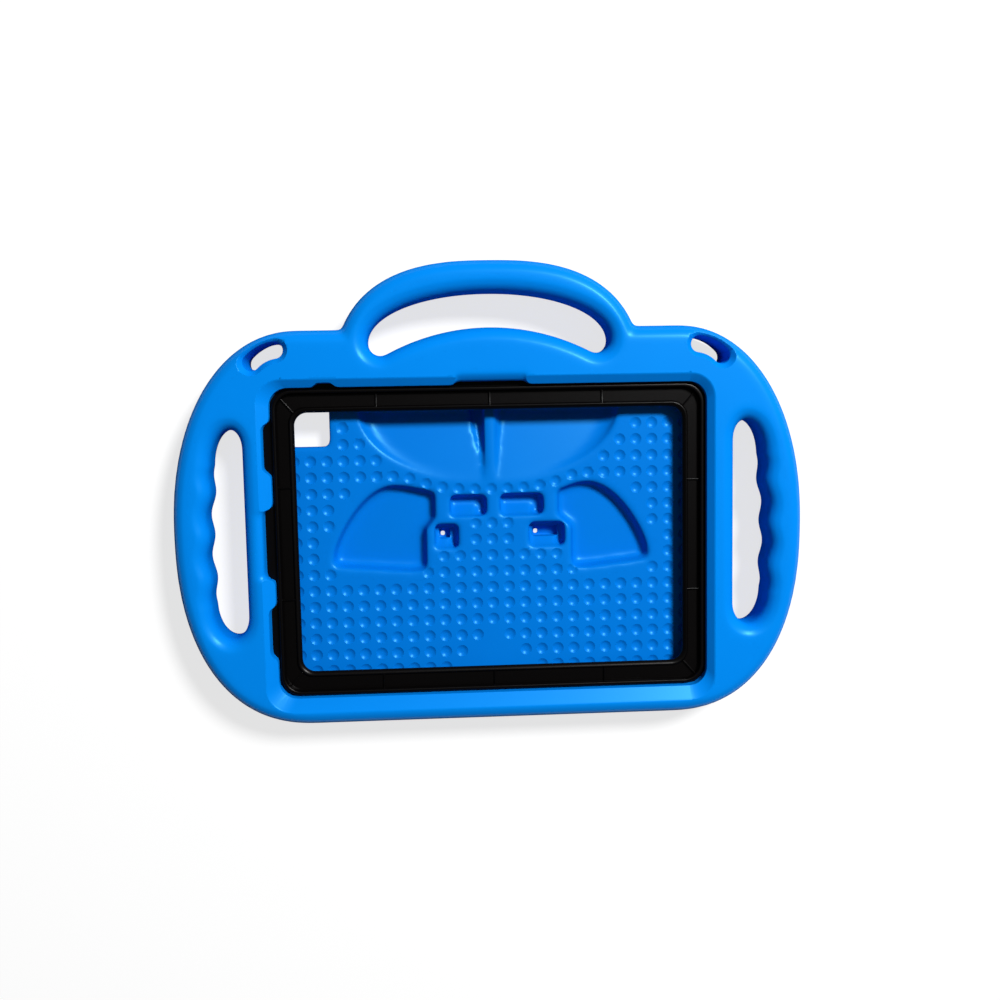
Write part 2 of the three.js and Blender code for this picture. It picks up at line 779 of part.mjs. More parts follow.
// The section of the frame's ring, as insets from the middle of its rim and heights above
// its underside, lofted once round.
function frameRing() {
  const glassX = RIM_OUTSET_X + GLASS_COVER_X;
  const glassY = RIM_OUTSET_Y + GLASS_COVER_Y;
  const half = RIM_WIDTH / 2;
  const plate = PLATE_THICKNESS;
  // Each station: share of the way in to the window, distance from that place, height.
  const section = [
    [1, 0, 0],
    [0, FLANGE_WIDTH, 0],
    [0, FLANGE_WIDTH, FLANGE_THICKNESS],
    [0, half + RIM_DRAFT, FLANGE_THICKNESS],
    [0, half, RIM_HEIGHT - RIM_CHAMFER],
    [0, half - RIM_CHAMFER, RIM_HEIGHT],
    [0, RIM_CHAMFER - half, RIM_HEIGHT],
    [0, -half, RIM_HEIGHT - RIM_CHAMFER],
    [0, -half - RIM_DRAFT, plate],
    [1, BEVEL_WIDTH + CREST_WIDTH + RIM_DRAFT, (plate + BEVEL_HEIGHT) / 2],
    [1, BEVEL_WIDTH + CREST_WIDTH, BEVEL_HEIGHT],
    [1, BEVEL_WIDTH, BEVEL_HEIGHT],
    [1, 0, plate],
  ];
  const ringAt = ([share, out, height]) => {
    const insetX = share * glassX - out;
    const insetY = share * glassY - out;
    const inner = share * (WINDOW_CORNER - RIM_CORNER);
    const corner = RIM_CORNER + inner + out * CORNER_GROWTH;
    const outline = roundedRectangle(rimX - insetX, rimY - insetY, corner);
    return atLevel(outline, FRAME_Z + height);
  };
  const rings = section.map(ringAt);
  const count = rings[0].length;
  const index = [];
  rings.forEach((_, level) => {
    const next = (level + 1) % rings.length;
    for (let i = 0; i < count; i++) {
      const j = (i + 1) % count;
      const [a, b] = [level * count + i, level * count + j];
      const [c, d] = [next * count + j, next * count + i];
      index.push(a, b, c, a, c, d);
    }
  });
  const positions = rings.flat().flatMap((p) => [p.x, p.y, p.z]);
  const geometry = new THREE.BufferGeometry();
  geometry.setAttribute(
    "position",
    new THREE.Float32BufferAttribute(positions, 3),
  );
  geometry.setIndex(index);
  return solidOf(geometry);
}

// One thin stiffening rib across the trough of the frame, turned about the vertical.
function frameRib(from, to) {
  const across = new THREE.Vector2().subVectors(to, from);
  const height = BEVEL_HEIGHT - PLATE_THICKNESS / 2;
  const geometry = new THREE.BoxGeometry(
    across.length(),
    RIB_THICKNESS,
    height,
  );
  geometry.rotateZ(across.angle());
  geometry.translate(
    (from.x + to.x) / 2,
    (from.y + to.y) / 2,
    FRAME_Z + BEVEL_HEIGHT - RIB_DROP - height / 2,
  );
  return solidOf(geometry);
}

function frameRibs() {
  const crest = BEVEL_WIDTH + CREST_WIDTH / 2;
  const crestX = tabletX - GLASS_COVER_X + crest;
  const crestY = tabletY - GLASS_COVER_Y + crest;
  const at = (x, y) => new THREE.Vector2(x, y);
  const ribs = [];
  for (const side of [1, -1]) {
    for (const place of [-RIB_SPACING_X, 0, RIB_SPACING_X])
      ribs.push(frameRib(at(place, side * crestY), at(place, side * rimY)));
    for (const place of [-RIB_OFFSET_Y, RIB_OFFSET_Y])
      ribs.push(frameRib(at(side * crestX, place), at(side * rimX, place)));
    for (const end of [1, -1]) {
      const corner = (x, y, inset) => at(side * (x - inset), end * (y - inset));
      const inner = corner(crestX, crestY, CORNER_RIB_INSET);
      const outer = corner(rimX, rimY, CORNER_RIB_REACH);
      ribs.push(frameRib(inner, outer));
    }
  }
  return ribs;
}

function innerFrame() {
  const solid = frameRibs().reduce(
    (frame, rib) => frame.add(rib),
    frameRing(),
  );
  return meshOf(solid, "inner_frame", frameBlack);
}

const tabletCase = new THREE.Group();
tabletCase.add(foamShell(), innerFrame());

export default tabletCase;
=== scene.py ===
"""Visual model of a moulded foam carrying case for an 8.3 inch tablet.

The case lies on its back with the screen side up. Sizes are written in millimetres, as on a
drawing, and become metres where a point is drawn. +X is right, +Y is towards the carrying
handle and +Z is out of the screen side. The origin is the middle of the tablet bay, on the
flat back face.
"""

import json
import logging
import math
from dataclasses import dataclass, field
from enum import Enum

import bmesh
import bpy
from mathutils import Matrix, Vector

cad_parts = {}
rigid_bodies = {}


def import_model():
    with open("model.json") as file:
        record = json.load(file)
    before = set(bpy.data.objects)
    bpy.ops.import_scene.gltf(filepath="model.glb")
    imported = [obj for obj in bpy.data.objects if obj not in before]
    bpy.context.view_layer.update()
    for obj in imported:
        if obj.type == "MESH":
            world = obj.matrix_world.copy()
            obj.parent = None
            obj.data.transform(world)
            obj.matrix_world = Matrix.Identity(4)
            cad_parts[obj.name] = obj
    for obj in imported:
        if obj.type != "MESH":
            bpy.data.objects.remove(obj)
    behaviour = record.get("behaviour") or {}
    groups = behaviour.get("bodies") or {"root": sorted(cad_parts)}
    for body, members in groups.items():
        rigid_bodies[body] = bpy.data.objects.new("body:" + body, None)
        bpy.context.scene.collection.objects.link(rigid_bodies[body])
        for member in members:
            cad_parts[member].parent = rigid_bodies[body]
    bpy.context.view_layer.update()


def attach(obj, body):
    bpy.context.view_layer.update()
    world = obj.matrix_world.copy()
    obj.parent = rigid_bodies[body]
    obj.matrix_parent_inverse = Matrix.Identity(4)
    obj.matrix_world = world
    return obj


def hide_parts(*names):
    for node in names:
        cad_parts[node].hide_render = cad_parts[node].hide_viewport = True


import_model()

log = logging.getLogger("tablet_case")

MM = 0.001
PAST = 1.0  # how far a cutter runs past the face it opens
FLAT = 0.002  # how far a point may lie off a flat face and still belong to it

# Straight steps in each kind of curve
BODY_STEPS = 44
ARCH_STEPS = 36
DOME_STEPS = 20
END_STEPS = 14
SLOT_STEPS = 12
GRIP_STEPS = 72
WING_STEPS = 8
DISH_STEPS = 64
CORNER_STEPS = 10
ROUND_STEPS = 8
DIMPLE_SIDES = 14

Point = tuple[float, float]
Outline = list[Point]
Ring = list[Vector]

FRAME_GAP = 0.3  # between the frame and the ledge that it lies on
RIM_OUTSET: Point = (0.7, 2.45)  # middle of the frame's rim, outside the tablet's edge
RIM_CORNER = 8.4


class Combine(Enum):
    """What a boolean does with its second solid."""

    CUT = "DIFFERENCE"
    ADD = "UNION"


class Side(Enum):
    """Which half of the case an outline belongs to. The value is its sign in X."""

    RIGHT = 1
    LEFT = -1


# Outlines, in millimetres


def super_arc(
    centre: Point, reach: Point, power: float, turns: Point, steps: int
) -> Outline:
    """Draws part of a superellipse.

    Args:
        centre: Its middle.
        reach: Half its width and half its height.
        power: 2 is an ellipse, and more is squarer.
        turns: First and last angle, in radians.
        steps: Number of straight steps.

    Returns:
        The points in order.
    """
    points = []
    for i in range(steps + 1):
        angle = turns[0] + (turns[1] - turns[0]) * i / steps
        cosine, sine = math.cos(angle), math.sin(angle)
        x = math.copysign(abs(cosine) ** (2 / power), cosine)
        y = math.copysign(abs(sine) ** (2 / power), sine)
        points.append((centre[0] + reach[0] * x, centre[1] + reach[1] * y))
    return points


def rounded_rectangle(
    half: Point, corner: float, centre: Point = (0.0, 0.0), steps: int = CORNER_STEPS
) -> Outline:
    """Draws a rectangle with round corners, anticlockwise.

    Args:
        half: Half its width and half its height.
        corner: Radius of each corner.
        centre: Its middle.
        steps: Steps round each corner.

    Returns:
        The closed outline, without its first point again.
    """
    points: Outline = []
    for turn, (sx, sy) in enumerate(((1, 1), (-1, 1), (-1, -1), (1, -1))):
        middle = (
            centre[0] + sx * (half[0] - corner),
            centre[1] + sy * (half[1] - corner),
        )
        start = turn * math.pi / 2
        turns = (start, start + math.pi / 2)
        points += super_arc(middle, (corner, corner), 2, turns, steps)
    return points


def bezier(a: Point, b: Point, c: Point, d: Point, steps: int) -> Outline:
    """Draws a cubic curve from a to d, pulled towards b and c."""
    points = []
    for i in range(steps + 1):
        t = i / steps
        s = 1 - t
        weights = (s**3, 3 * s * s * t, 3 * s * t * t, t**3)
        points.append(
            tuple(
                sum(w * p[axis] for w, p in zip(weights, (a, b, c, d)))
                for axis in (0, 1)
            )
        )
    return points


def mirrored(outline: Outline) -> Outline:
    """Mirrors an outline left to right and keeps it anticlockwise."""
    return [(-x, y) for x, y in reversed(outline)]


def sided(outline: Outline, side: Side) -> Outline:
    """Turns a right-hand outline into the one for that side."""
    return outline if side is Side.RIGHT else mirrored(outline)


def grown(outline: Outline, distance: float) -> Outline:
    """Grows an anticlockwise outline outwards all round.

    Args:
        outline: The closed outline.
        distance: How far each edge moves out.

    Returns:
        The grown outline, with as many points.
    """
    result = []
    for i, point in enumerate(outline):
        p = Vector(point)
        before = p - Vector(outline[i - 1])
        after = Vector(outline[(i + 1) % len(outline)]) - p
        first = Vector((before.y, -before.x)).normalized()
        second = Vector((after.y, -after.x)).normalized()
        bisector = (first + second).normalized()
        moved = p + bisector * (distance / bisector.dot(first))
        result.append((moved.x, moved.y))
    return result


def at_level(outline: Outline, z: float) -> Ring:
    """Lifts a flat outline to a height."""
    return [Vector((x, y, z)) for x, y in outline]


# Modelling by hand


def deselect_all() -> None:
    """Leaves edit mode and deselects every object."""
    if bpy.context.object and bpy.context.object.mode != "OBJECT":
        bpy.ops.object.mode_set(mode="OBJECT")
    bpy.ops.object.select_all(action="DESELECT")


def make_active(piece: bpy.types.Object) -> None:
    """Selects one object alone and makes it the active one."""
    deselect_all()
    piece.select_set(True)
    bpy.context.view_layer.objects.active = piece


def select_loose_ends(piece: bpy.types.Object) -> None:
    """Selects only the two ends of a wire that isn't closed yet, in edit mode."""
    mesh = bmesh.from_edit_mesh(piece.data)
    for vertex in mesh.verts:
        vertex.select_set(len(vertex.link_edges) == 1)
    bmesh.update_edit_mesh(piece.data)


def select_vertices(piece: bpy.types.Object, chosen: set[int]) -> None:
    """Selects only these vertices, and the edges and faces between them, in edit mode."""
    mesh = bmesh.from_edit_mesh(piece.data)
    mesh.verts.ensure_lookup_table()
    for vertex in mesh.verts:
        vertex.select_set(vertex.index in chosen)
    mesh.select_flush_mode()
    bmesh.update_edit_mesh(piece.data)


def draw_ring(points: Ring) -> None:
    """Draws a closed wire in edit mode by pushing one vertex on from point to point."""
    bpy.ops.mesh.select_all(action="DESELECT")
    bpy.ops.mesh.primitive_plane_add(size=MM, location=points[0] * MM)
    bpy.ops.mesh.merge(type="CENTER")
    for here, there in zip(points, points[1:]):
        step = (there - here) * MM
        bpy.ops.mesh.extrude_region_move(TRANSFORM_OT_translate={"value": step})


def start_piece(name: str) -> bpy.types.Object:
    """Adds an empty mesh, ready to be drawn in, and enters edit mode."""
    deselect_all()
    bpy.ops.mesh.primitive_plane_add(size=MM, location=(0, 0, 0))
    piece = bpy.context.object
    piece.name = name
    bpy.ops.object.mode_set(mode="EDIT")
    bpy.ops.mesh.select_mode(type="VERT")
    bpy.ops.mesh.select_all(action="SELECT")
    bpy.ops.mesh.delete(type="VERT")
    return piece


def end_piece() -> None:
    """Points every face outwards and leaves edit mode."""
    bpy.ops.mesh.select_all(action="SELECT")
    bpy.ops.mesh.normals_make_consistent(inside=False)
    bpy.ops.object.mode_set(mode="OBJECT")


def lofted(name: str, rings: list[Ring], endless: bool = False) -> bpy.types.Object:
    """Models a closed solid through rings of equal point counts.

    Args:
        name: The piece's name.
        rings: The rings in order, in millimetres.
        endless: True where the last ring joins the first, as in a frame's section.

    Returns:
        The new object, with its place in its mesh.
    """
    piece = start_piece(name)
    count = len(rings[0])
    members = []
    for level, ring in enumerate(rings):
        draw_ring(ring)
        first = level * count
        members.append(set(range(first, first + count)))
        select_loose_ends(piece)
        bpy.ops.mesh.edge_face_add()
    following = members[1:] + (members[:1] if endless else [])
    for lower, upper in zip(members, following):
        select_vertices(piece, lower | upper)
        bpy.ops.mesh.bridge_edge_loops()
    if not endless:
        for end in (members[0], members[-1]):
            select_vertices(piece, end)
            bpy.ops.mesh.edge_face_add()
    end_piece()
    return piece


def prism(name: str, outline: Outline, low: float, high: float) -> bpy.types.Object:
    """Models a straight prism of an outline between two heights."""
    return lofted(name, [at_level(outline, low), at_level(outline, high)])


def combine(
    body: bpy.types.Object, tools: list[bpy.types.Object], how: Combine = Combine.CUT
) -> None:
    """Cuts solids from a body or adds them to it, one by one, and removes them.

    Args:
        body: The solid that stays.
        tools: The solids that are used up.
        how: Cut or add.
    """
    for tool in tools:
        make_active(body)
        bpy.ops.object.modifier_add(type="BOOLEAN")
        modifier = body.modifiers[-1]
        modifier.object = tool
        modifier.operation = how.value
        modifier.solver = "MANIFOLD"
        bpy.ops.object.modifier_apply(modifier=modifier.name)
        bpy.data.objects.remove(tool)


def apply_modifier(piece: bpy.types.Object, kind: str, **settings: object) -> None:
    """Adds one modifier with its settings and applies it."""
    make_active(piece)
    bpy.ops.object.modifier_add(type=kind)
    modifier = piece.modifiers[-1]
    for key, value in settings.items():
        setattr(modifier, key, value)
    bpy.ops.object.modifier_apply(modifier=modifier.name)


# Finishes


def linear(hex_colour: str) -> tuple[float, float, float, float]:
    """Turns an sRGB hex value such as "0a84ec" into linear colour."""
    channels = [int(hex_colour[i : i + 2], 16) / 255 for i in (0, 2, 4)]
    values = [
        c / 12.92 if c <= 0.04045 else ((c + 0.055) / 1.055) ** 2.4 for c in channels
    ]
    return (*values, 1.0)


def add_node(
    material: bpy.types.Material,
    kind: str,
    settings: dict[str | int, object] | None = None,
    links: dict[str | int, bpy.types.NodeSocket] | None = None,
) -> bpy.types.Node:
    """Adds one shader node.

    Args:
        material: The material it goes in.
        kind: The node's type name.
        settings: Input names, input numbers or attribute names, and their values.
        links: Input names or numbers, and the output sockets that feed them.

    Returns:
        The new node.
    """
    tree = material.node_tree
    node = tree.nodes.new(kind)
    for key, value in (settings or {}).items():
        if isinstance(key, int) or key in node.inputs:
            node.inputs[key].default_value = value
        else:
            setattr(node, key, value)
    for key, source in (links or {}).items():
        tree.links.new(source, node.inputs[key])
    return node


def blank_material(name: str) -> tuple[bpy.types.Material, bpy.types.Node]:
    """Makes a material that holds only a Principled shader, and returns both."""
    material = bpy.data.materials.new(name)
    material.use_nodes = True
    material.node_tree.nodes.clear()
    shader = add_node(material, "ShaderNodeBsdfPrincipled")
    add_node(
        material, "ShaderNodeOutputMaterial", links={"Surface": shader.outputs["BSDF"]}
    )
    return material, shader


@dataclass(frozen=True)
class MouldedFoam:
    """EVA foam, injected hot into a polished mould.

    The skin is closed and faintly waxy, with a fine orange-peel grain from the cells under it.
    Its blue is painted darker the lower a face lies, down to the floor of the bay, as painted
    shade for the deep bay and its recesses, and changes slowly in tone besides. Faces that
    look up out of the mould keep its polish. Upright walls drag on the mould as the case comes
    out, so they are matt.
    """

    colour: str = "0070d2"
    pale: str = "0086ea"
    # Painted shade: the heights between which the blue goes from dark to pale, and that
    # shade's share of the tone
    shaded_height_mm: float = 11.0
    lit_height_mm: float = 26.0
    painted_shade_share: float = 0.75
    glint: str = "7aecff"
    roughness: float = 0.33
    matt: float = 0.85
    skin: float = 0.32
    grain_mm: float = 0.9
    grain_depth_mm: float = 0.02
    mottle_mm: float = 34.0

    def material(self) -> bpy.types.Material:
        """Builds the shader."""
        material, shader = blank_material("eva_foam_blue")
        place = add_node(material, "ShaderNodeTexCoord").outputs["Object"]
        mottle = add_node(
            material,
            "ShaderNodeTexNoise",
            {"Scale": 1 / (self.mottle_mm * MM), "Detail": 3.0, "Roughness": 0.5},
            {"Vector": place},
        )
        # Painted shade: the lower a face lies, the darker its blue, so the bay and its
        # recesses look shaded
        height = add_node(material, "ShaderNodeSeparateXYZ", links={"Vector": place})
        thickness = add_node(
            material,
            "ShaderNodeMapRange",
            {
                "From Min": self.shaded_height_mm * MM,
                "From Max": self.lit_height_mm * MM,
                "To Max": self.painted_shade_share,
            },
            {"Value": height.outputs["Z"]},
        )
        # Mixes the random slow change of tone with the painted shade by height
        blend = add_node(
            material,
            "ShaderNodeMath",
            {"operation": "MULTIPLY_ADD", 1: 1 - self.painted_shade_share},
            {0: mottle.outputs["Fac"], 2: thickness.outputs["Result"]},
        )
        tone = add_node(
            material, "ShaderNodeValToRGB", links={"Fac": blend.outputs["Value"]}
        )
        tone.color_ramp.elements[0].color = linear(self.colour)
        tone.color_ramp.elements[1].color = linear(self.pale)
        grain = add_node(
            material,
            "ShaderNodeTexNoise",
            {"Scale": 1 / (self.grain_mm * MM), "Detail": 2.0, "Roughness": 0.6},
            {"Vector": place},
        )
        bump = add_node(
            material,
            "ShaderNodeBump",
            {"Strength": 0.35, "Distance": self.grain_depth_mm * MM},
            {"Height": grain.outputs["Fac"]},
        )
        surface = add_node(material, "ShaderNodeNewGeometry").outputs["Normal"]
        upward = add_node(material, "ShaderNodeSeparateXYZ", links={"Vector": surface})
        polish = {"From Min": 0.4, "From Max": 0.8}
        shine = add_node(
            material,
            "ShaderNodeMapRange",
            {**polish, "To Min": self.matt, "To Max": self.roughness},
            {"Value": upward.outputs["Z"]},
        )
        gloss = add_node(
            material,
            "ShaderNodeMapRange",
            {**polish, "To Min": 0.0, "To Max": self.skin},
            {"Value": upward.outputs["Z"]},
        )
        shader.inputs["IOR"].default_value = 1.48
        shader.inputs["Specular Tint"].default_value = linear(self.glint)
        links = material.node_tree.links
        links.new(gloss.outputs["Result"], shader.inputs["Specular IOR Level"])
        links.new(tone.outputs["Color"], shader.inputs["Base Color"])
        links.new(shine.outputs["Result"], shader.inputs["Roughness"])
        links.new(bump.outputs["Normal"], shader.inputs["Normal"])
        return material


@dataclass(frozen=True)
class SatinAbs:
    """Black ABS from a finely eroded mould: deep black, soft highlights on its thin edges."""

    colour: str = "050404"
    roughness: float = 0.3
    shine: float = 0.12
    grain_mm: float = 0.5
    grain_depth_mm: float = 0.01

    def material(self) -> bpy.types.Material:
        """Builds the shader."""
        material, shader = blank_material("satin_abs_black")
        place = add_node(material, "ShaderNodeTexCoord").outputs["Object"]
        grain = add_node(
            material,
            "ShaderNodeTexNoise",
            {"Scale": 1 / (self.grain_mm * MM), "Detail": 2.0},
            {"Vector": place},
        )
        bump = add_node(
            material,
            "ShaderNodeBump",
            {"Strength": 0.3, "Distance": self.grain_depth_mm * MM},
            {"Height": grain.outputs["Fac"]},
        )
        shine = add_node(
            material,
            "ShaderNodeMapRange",
            {"To Min": self.roughness - 0.06, "To Max": self.roughness + 0.08},
            {"Value": grain.outputs["Fac"]},
        )
        shader.inputs["Base Color"].default_value = linear(self.colour)
        shader.inputs["IOR"].default_value = 1.54
        shader.inputs["Specular IOR Level"].default_value = self.shine
        links = material.node_tree.links
        links.new(shine.outputs["Result"], shader.inputs["Roughness"])
        links.new(bump.outputs["Normal"], shader.inputs["Normal"])
        return material


# Tablet that the case is made for


@dataclass(frozen=True)
class Tablet:
    """The sizes of the tablet, from which the bay and the frame take theirs."""

    width: float = 195.4
    height: float = 134.8
    thickness: float = 6.3
    corner: float = 9.0
    clearance: float = 0.4

    @property
    def half(self) -> Point:
        """Half its width and half its height."""
        return self.width / 2, self.height / 2

    def edge(self, out_x: float, out_y: float) -> Point:
        """Half sizes that lie outside the tablet's edge by two distances."""
        return self.half[0] + out_x, self.half[1] + out_y


@dataclass(frozen=True)
class Notch:
    """A notch in the lip: its middle and flat length, and its reach at the lip and the top."""

    middle: float
    length: float
    reach: float
    slope: float


@dataclass(frozen=True)
class Pocket:
    """A pocket in the floor: its lower left corner, its size, its well and its slot."""

    left: float
    foot: float
    width: float
    height: float
    well: float
    slot: float


@dataclass
class FoamShell:
    """The foam body with its handle, grips, bay and moulded floor."""

    tablet: Tablet
    thickness: float = 27.0
    floor: float = 11.5
    side_margin: float = 47.5
    foot_margin: float = 16.8
    shoulder_margin: float = 29.8
    belly: float = 6.0
    upper_corner: Point = (58.7, 2.13)  # reach and power
    lower_corner: Point = (62.4, 2.34)
    edge_round: float = 6.4
    opening_round: float = 6.6
    opening_heel: float = 15.0  # how far up the rounding at the back reaches

    handle_rise: float = 30.4
    handle_bar: float = 14.4
    handle_reach: float = 70.7
    handle_root: float = 27.8
    handle_power: float = 2.62
    opening_reach: float = 55.2
    opening_fillet: float = 5.8
    opening_power: float = 2.05
    dome_rise: float = 0.3
    dome_radius: float = 100.0

    grip_web: float = 15.4
    grip_hole: float = 16.6
    grip_bow: float = 260.0
    grip_bow_height: float = -2.0
    grip_span: Point = (-42.9, 53.2)
    grip_head: tuple[float, float, float] = (5.0, 9.0, 17.0)  # across, inner, outer
    grip_foot: tuple[float, float, float] = (7.2, 10.0, 15.0)
    finger_pitch: float = 19.6
    finger_depth: float = 1.8
    finger_height: float = 14.0

    slot_offset: Point = (4.4, 19.2)
    slot_bend: float = 18.0
    slot_size: Point = (18.0, 6.0)  # length and width
    slot_angle: float = 63.0
    slot_draft: Point = (13.0, 0.8)  # its depth and how much wider it makes the slot
    slot_heel: float = 1.5  # how much wider the slot is at the back
    funnel_flare: float = 3.2
    funnel_depth: float = 2.4

    rim_outset: Point = RIM_OUTSET
    flange_reach: float = 7.5
    flange_room: float = 2.4
    lip_standoff: float = 1.7
    lip_corner: float = RIM_CORNER
    lip_edge: float = 4.0
    mouth_slope: Point = (3.9, 4.5)
    mouth_shift: Point = (-1.0, -1.1)
    mouth_corner: float = 11.0
    mouth_round: float = 0.5
    notch_slant: float = 2.6
    notch_round: float = 1.2
    side_notches: tuple[Notch, ...] = (
        Notch(44.2, 20.5, 3.2, 0.6),
        Notch(0.4, 30.0, 4.2, 1.0),
        Notch(-40.5, 21.5, 3.0, 0.6),
    )
    top_notches: tuple[Notch, ...] = (
        Notch(-75.0, 7.6, 1.7, 0.4),
        Notch(0.4, 31.5, 1.5, 3.1),
    )
    relief: Notch = Notch(0.2, 29.4, 9.0, 0.0)
    relief_drop: float = 3.0

    camera_inset: float = 2.4
    camera_size: Point = (20.7, 20.9)
    camera_corner: float = 3.0

    dish_below: float = 5.4
    dish_reach: float = 61.2
    dish_drop: float = 36.4
    dish_depth: float = 6.5
    dish_wall: float = 8.0
    dish_rib: Point = (-2.4, 2.2)  # its crown, left to right
    dish_rib_spread: Point = (0.7, 3.7)  # how far each side slopes out, at full depth
    rib_groove: tuple[float, float, float] = (6.5, 34.0, 3.0)  # width, length, depth
    wing_depth: float = 6.6
    wing_wall: float = 2.2
    wing_foot: float = -16.0
    wing_round: float = 8.5
    wing_peak: Point = (45.4, 25.8)
    wing_tip: Point = (75.8, -12.6)
    wing_shoulder: float = 22.0
    wing_step: float = 9.5
    wing_ease: float = 5.5
    wing_bulge: Point = (5.0, 6.0)
    wing_bows: Point = (0.3, 0.7)  # where the outer edge is pulled out, from tip to peak
    wing_lean: Point = (1.2, 1.0)  # how far the edges lean where the tip's rounding ends
    wing_level: float = 6.0  # how far the upper edge runs level from the peak
    wing_fall: Point = (4.0, 1.0)  # how it comes down to the shoulder
    wing_inner: dict[Side, Point] = field(
        default_factory=lambda: {Side.RIGHT: (31.2, 37.6), Side.LEFT: (26.0, 30.4)}
    )
    pocket_depth: float = 7.0
    pocket_corner: float = 1.5
    pocket_land: float = 1.0
    pocket_slot: tuple[float, float, float] = (2.0, 4.6, 0.9)  # inset, height, rise
    slot_land: float = 1.0  # foam left under the well of a slot
    slot_outlet: Point = (2.0, 2.2)
    pockets: tuple[Pocket, ...] = (
        Pocket(-19.4, 10.0, 17.2, 10.0, 5.0, 0.0),
        Pocket(4.4, 10.0, 20.4, 10.4, 5.4, 0.0),
        Pocket(-26.8, -5.0, 11.0, 11.4, 4.0, 5.0),
        Pocket(18.0, -5.0, 16.8, 11.4, 4.0, 12.0),
    )

    dimple_pitch: float = 7.65
    dimple_shift: Point = (0.3, -0.9)
    dimple_radius: float = 2.8
    dimple_depth: float = 0.9
    dimple_rings: tuple[float, ...] = (1.0, 0.82, 0.58, 0.28)  # shares of the radius
    # Runs of dimples, first and last column, in each row counted from the middle of the bay.
    dimple_runs: dict[int, tuple[tuple[int, int], ...]] = field(
        default_factory=lambda: {
            7: ((-9, -9), (9, 12)),
            6: ((-9, -8), (8, 12)),
            5: ((-12, -7), (7, 12)),
            4: ((-12, -6), (6, 12)),
            3: ((-12, -9), (9, 12)),
            2: ((-12, -10), (10, 12)),
            1: ((-12, -10), (-1, 1), (10, 12)),
            0: ((-12, -11), (-1, 1), (11, 12)),
            -1: ((-12, -11), (-3, 4), (11, 12)),
            -2: ((-12, -10), (-4, 5), (10, 12)),
            -3: ((-12, 12),),
            -4: ((-12, 12),),
            -5: ((-12, 12),),
            -6: ((-12, -1), (1, 12)),
            -7: ((-12, -2), (2, 12)),
            -8: ((-12, -3), (3, 12)),
        }
    )
    arc_run: tuple[int, int] = (-5, 5)  # the row that follows the edge of the dish
    arc_height: float = 22.9
    arc_rise: float = 5.9

    voxel: float = 1.22
    smooth_passes: int = 4

    @property
    def shoulder(self) -> float:
        """Height of the shoulders above the middle of the bay."""
        return self.tablet.half[1] + self.shoulder_margin

    @property
    def ledge(self) -> float:
        """Level of the tablet's glass, where the groove for the frame begins."""
        return self.floor + self.tablet.thickness

    @property
    def lip(self) -> float:
        """Level of the underside of the lip."""
        return self.ledge + self.flange_room

    def body_outline(self) -> Outline:
        """Outline of the body and the handle, anticlockwise from the foot."""
        body = self.tablet.half[0] + self.side_margin
        foot = -self.tablet.half[1] - self.foot_margin
        quarter = math.pi / 2
        reach, power = self.lower_corner
        right = super_arc(
            (body - reach, self.belly),
            (reach, self.belly - foot),
            power,
            (-quarter, 0),
            BODY_STEPS,
        )
        reach, power = self.upper_corner
        right += super_arc(
            (body - reach, self.belly),
            (reach, self.shoulder - self.belly),
            power,
            (0, quarter),
            BODY_STEPS,
        )[1:]
        rise = self.handle_root + self.handle_rise
        start = math.asin((self.handle_root / rise) ** (self.handle_power / 2))
        right += super_arc(
            (0, self.shoulder - self.handle_root),
            (self.handle_reach, rise),
            self.handle_power,
            (start, quarter),
            ARCH_STEPS,
        )
        return right + mirrored(right)[1:]

    def handle_opening(self) -> Outline:
        """Finger opening under the handle: an arch over the crowned edge of the body."""
        dome = self.shoulder + self.dome_rise - self.dome_radius
        end_x = self.opening_reach - self.opening_fillet
        reach = self.dome_radius + self.opening_fillet
        end_y = dome + math.sqrt(reach**2 - end_x**2)
        lean = math.atan2(end_y - dome, end_x)
        quarter = math.pi / 2
        right = super_arc(
            (0, dome),
            (self.dome_radius, self.dome_radius),
            2,
            (quarter, lean),
            DOME_STEPS,
        )
        right += super_arc(
            (end_x, end_y),
            (self.opening_fillet, self.opening_fillet),
            2,
            (lean - math.pi, 0),
            END_STEPS,
        )[1:]
        top = self.shoulder + self.handle_rise - self.handle_bar
        right += super_arc(
            (0, end_y),
            (self.opening_reach, top - end_y),
            self.opening_power,
            (0, quarter),
            ARCH_STEPS,
        )[1:]
        return right + mirrored(right)[1:-1]

    def grip_opening(self) -> Outline:
        """Right grip opening: straight towards the bay, finger valleys on the bar."""
        inner = self.tablet.half[0] + self.grip_web
        outer = inner + self.grip_hole
        bottom, top = self.grip_span
        high = top - self.grip_head[2]
        low = bottom + self.grip_foot[2]

        def valley(y: float) -> float:
            """Edge of the bar at a height."""
            bow = (y - self.grip_bow_height) ** 2 / (2 * self.grip_bow)
            turn = 2 * math.pi * (y - self.finger_height) / self.finger_pitch
            return outer - bow + self.finger_depth / 2 * math.cos(turn)

        def end(middle: float, edge: float, y: float, rise: float, turn: int) -> Outline:
            """One quarter of a rounded end."""
            turns = (turn * math.pi / 2, (turn + 1) * math.pi / 2)
            reach = (abs(edge - middle), rise)
            return super_arc((middle, y), reach, 2, turns, END_STEPS)

        foot_x = inner + self.grip_foot[0]
        head_x = inner + self.grip_head[0]
        rise = (high - low) / GRIP_STEPS
        heights = [low + rise * i for i in range(1, GRIP_STEPS)]
        outline = end(foot_x, inner, bottom + self.grip_foot[1], self.grip_foot[1], 2)
        outline += end(foot_x, valley(low), low, self.grip_foot[2], 3)[1:]
        outline += [(valley(y), y) for y in heights]
        outline += end(head_x, valley(high), high, self.grip_head[2], 0)
        outline += end(head_x, inner, top - self.grip_head[1], self.grip_head[1], 1)[1:]
        return outline

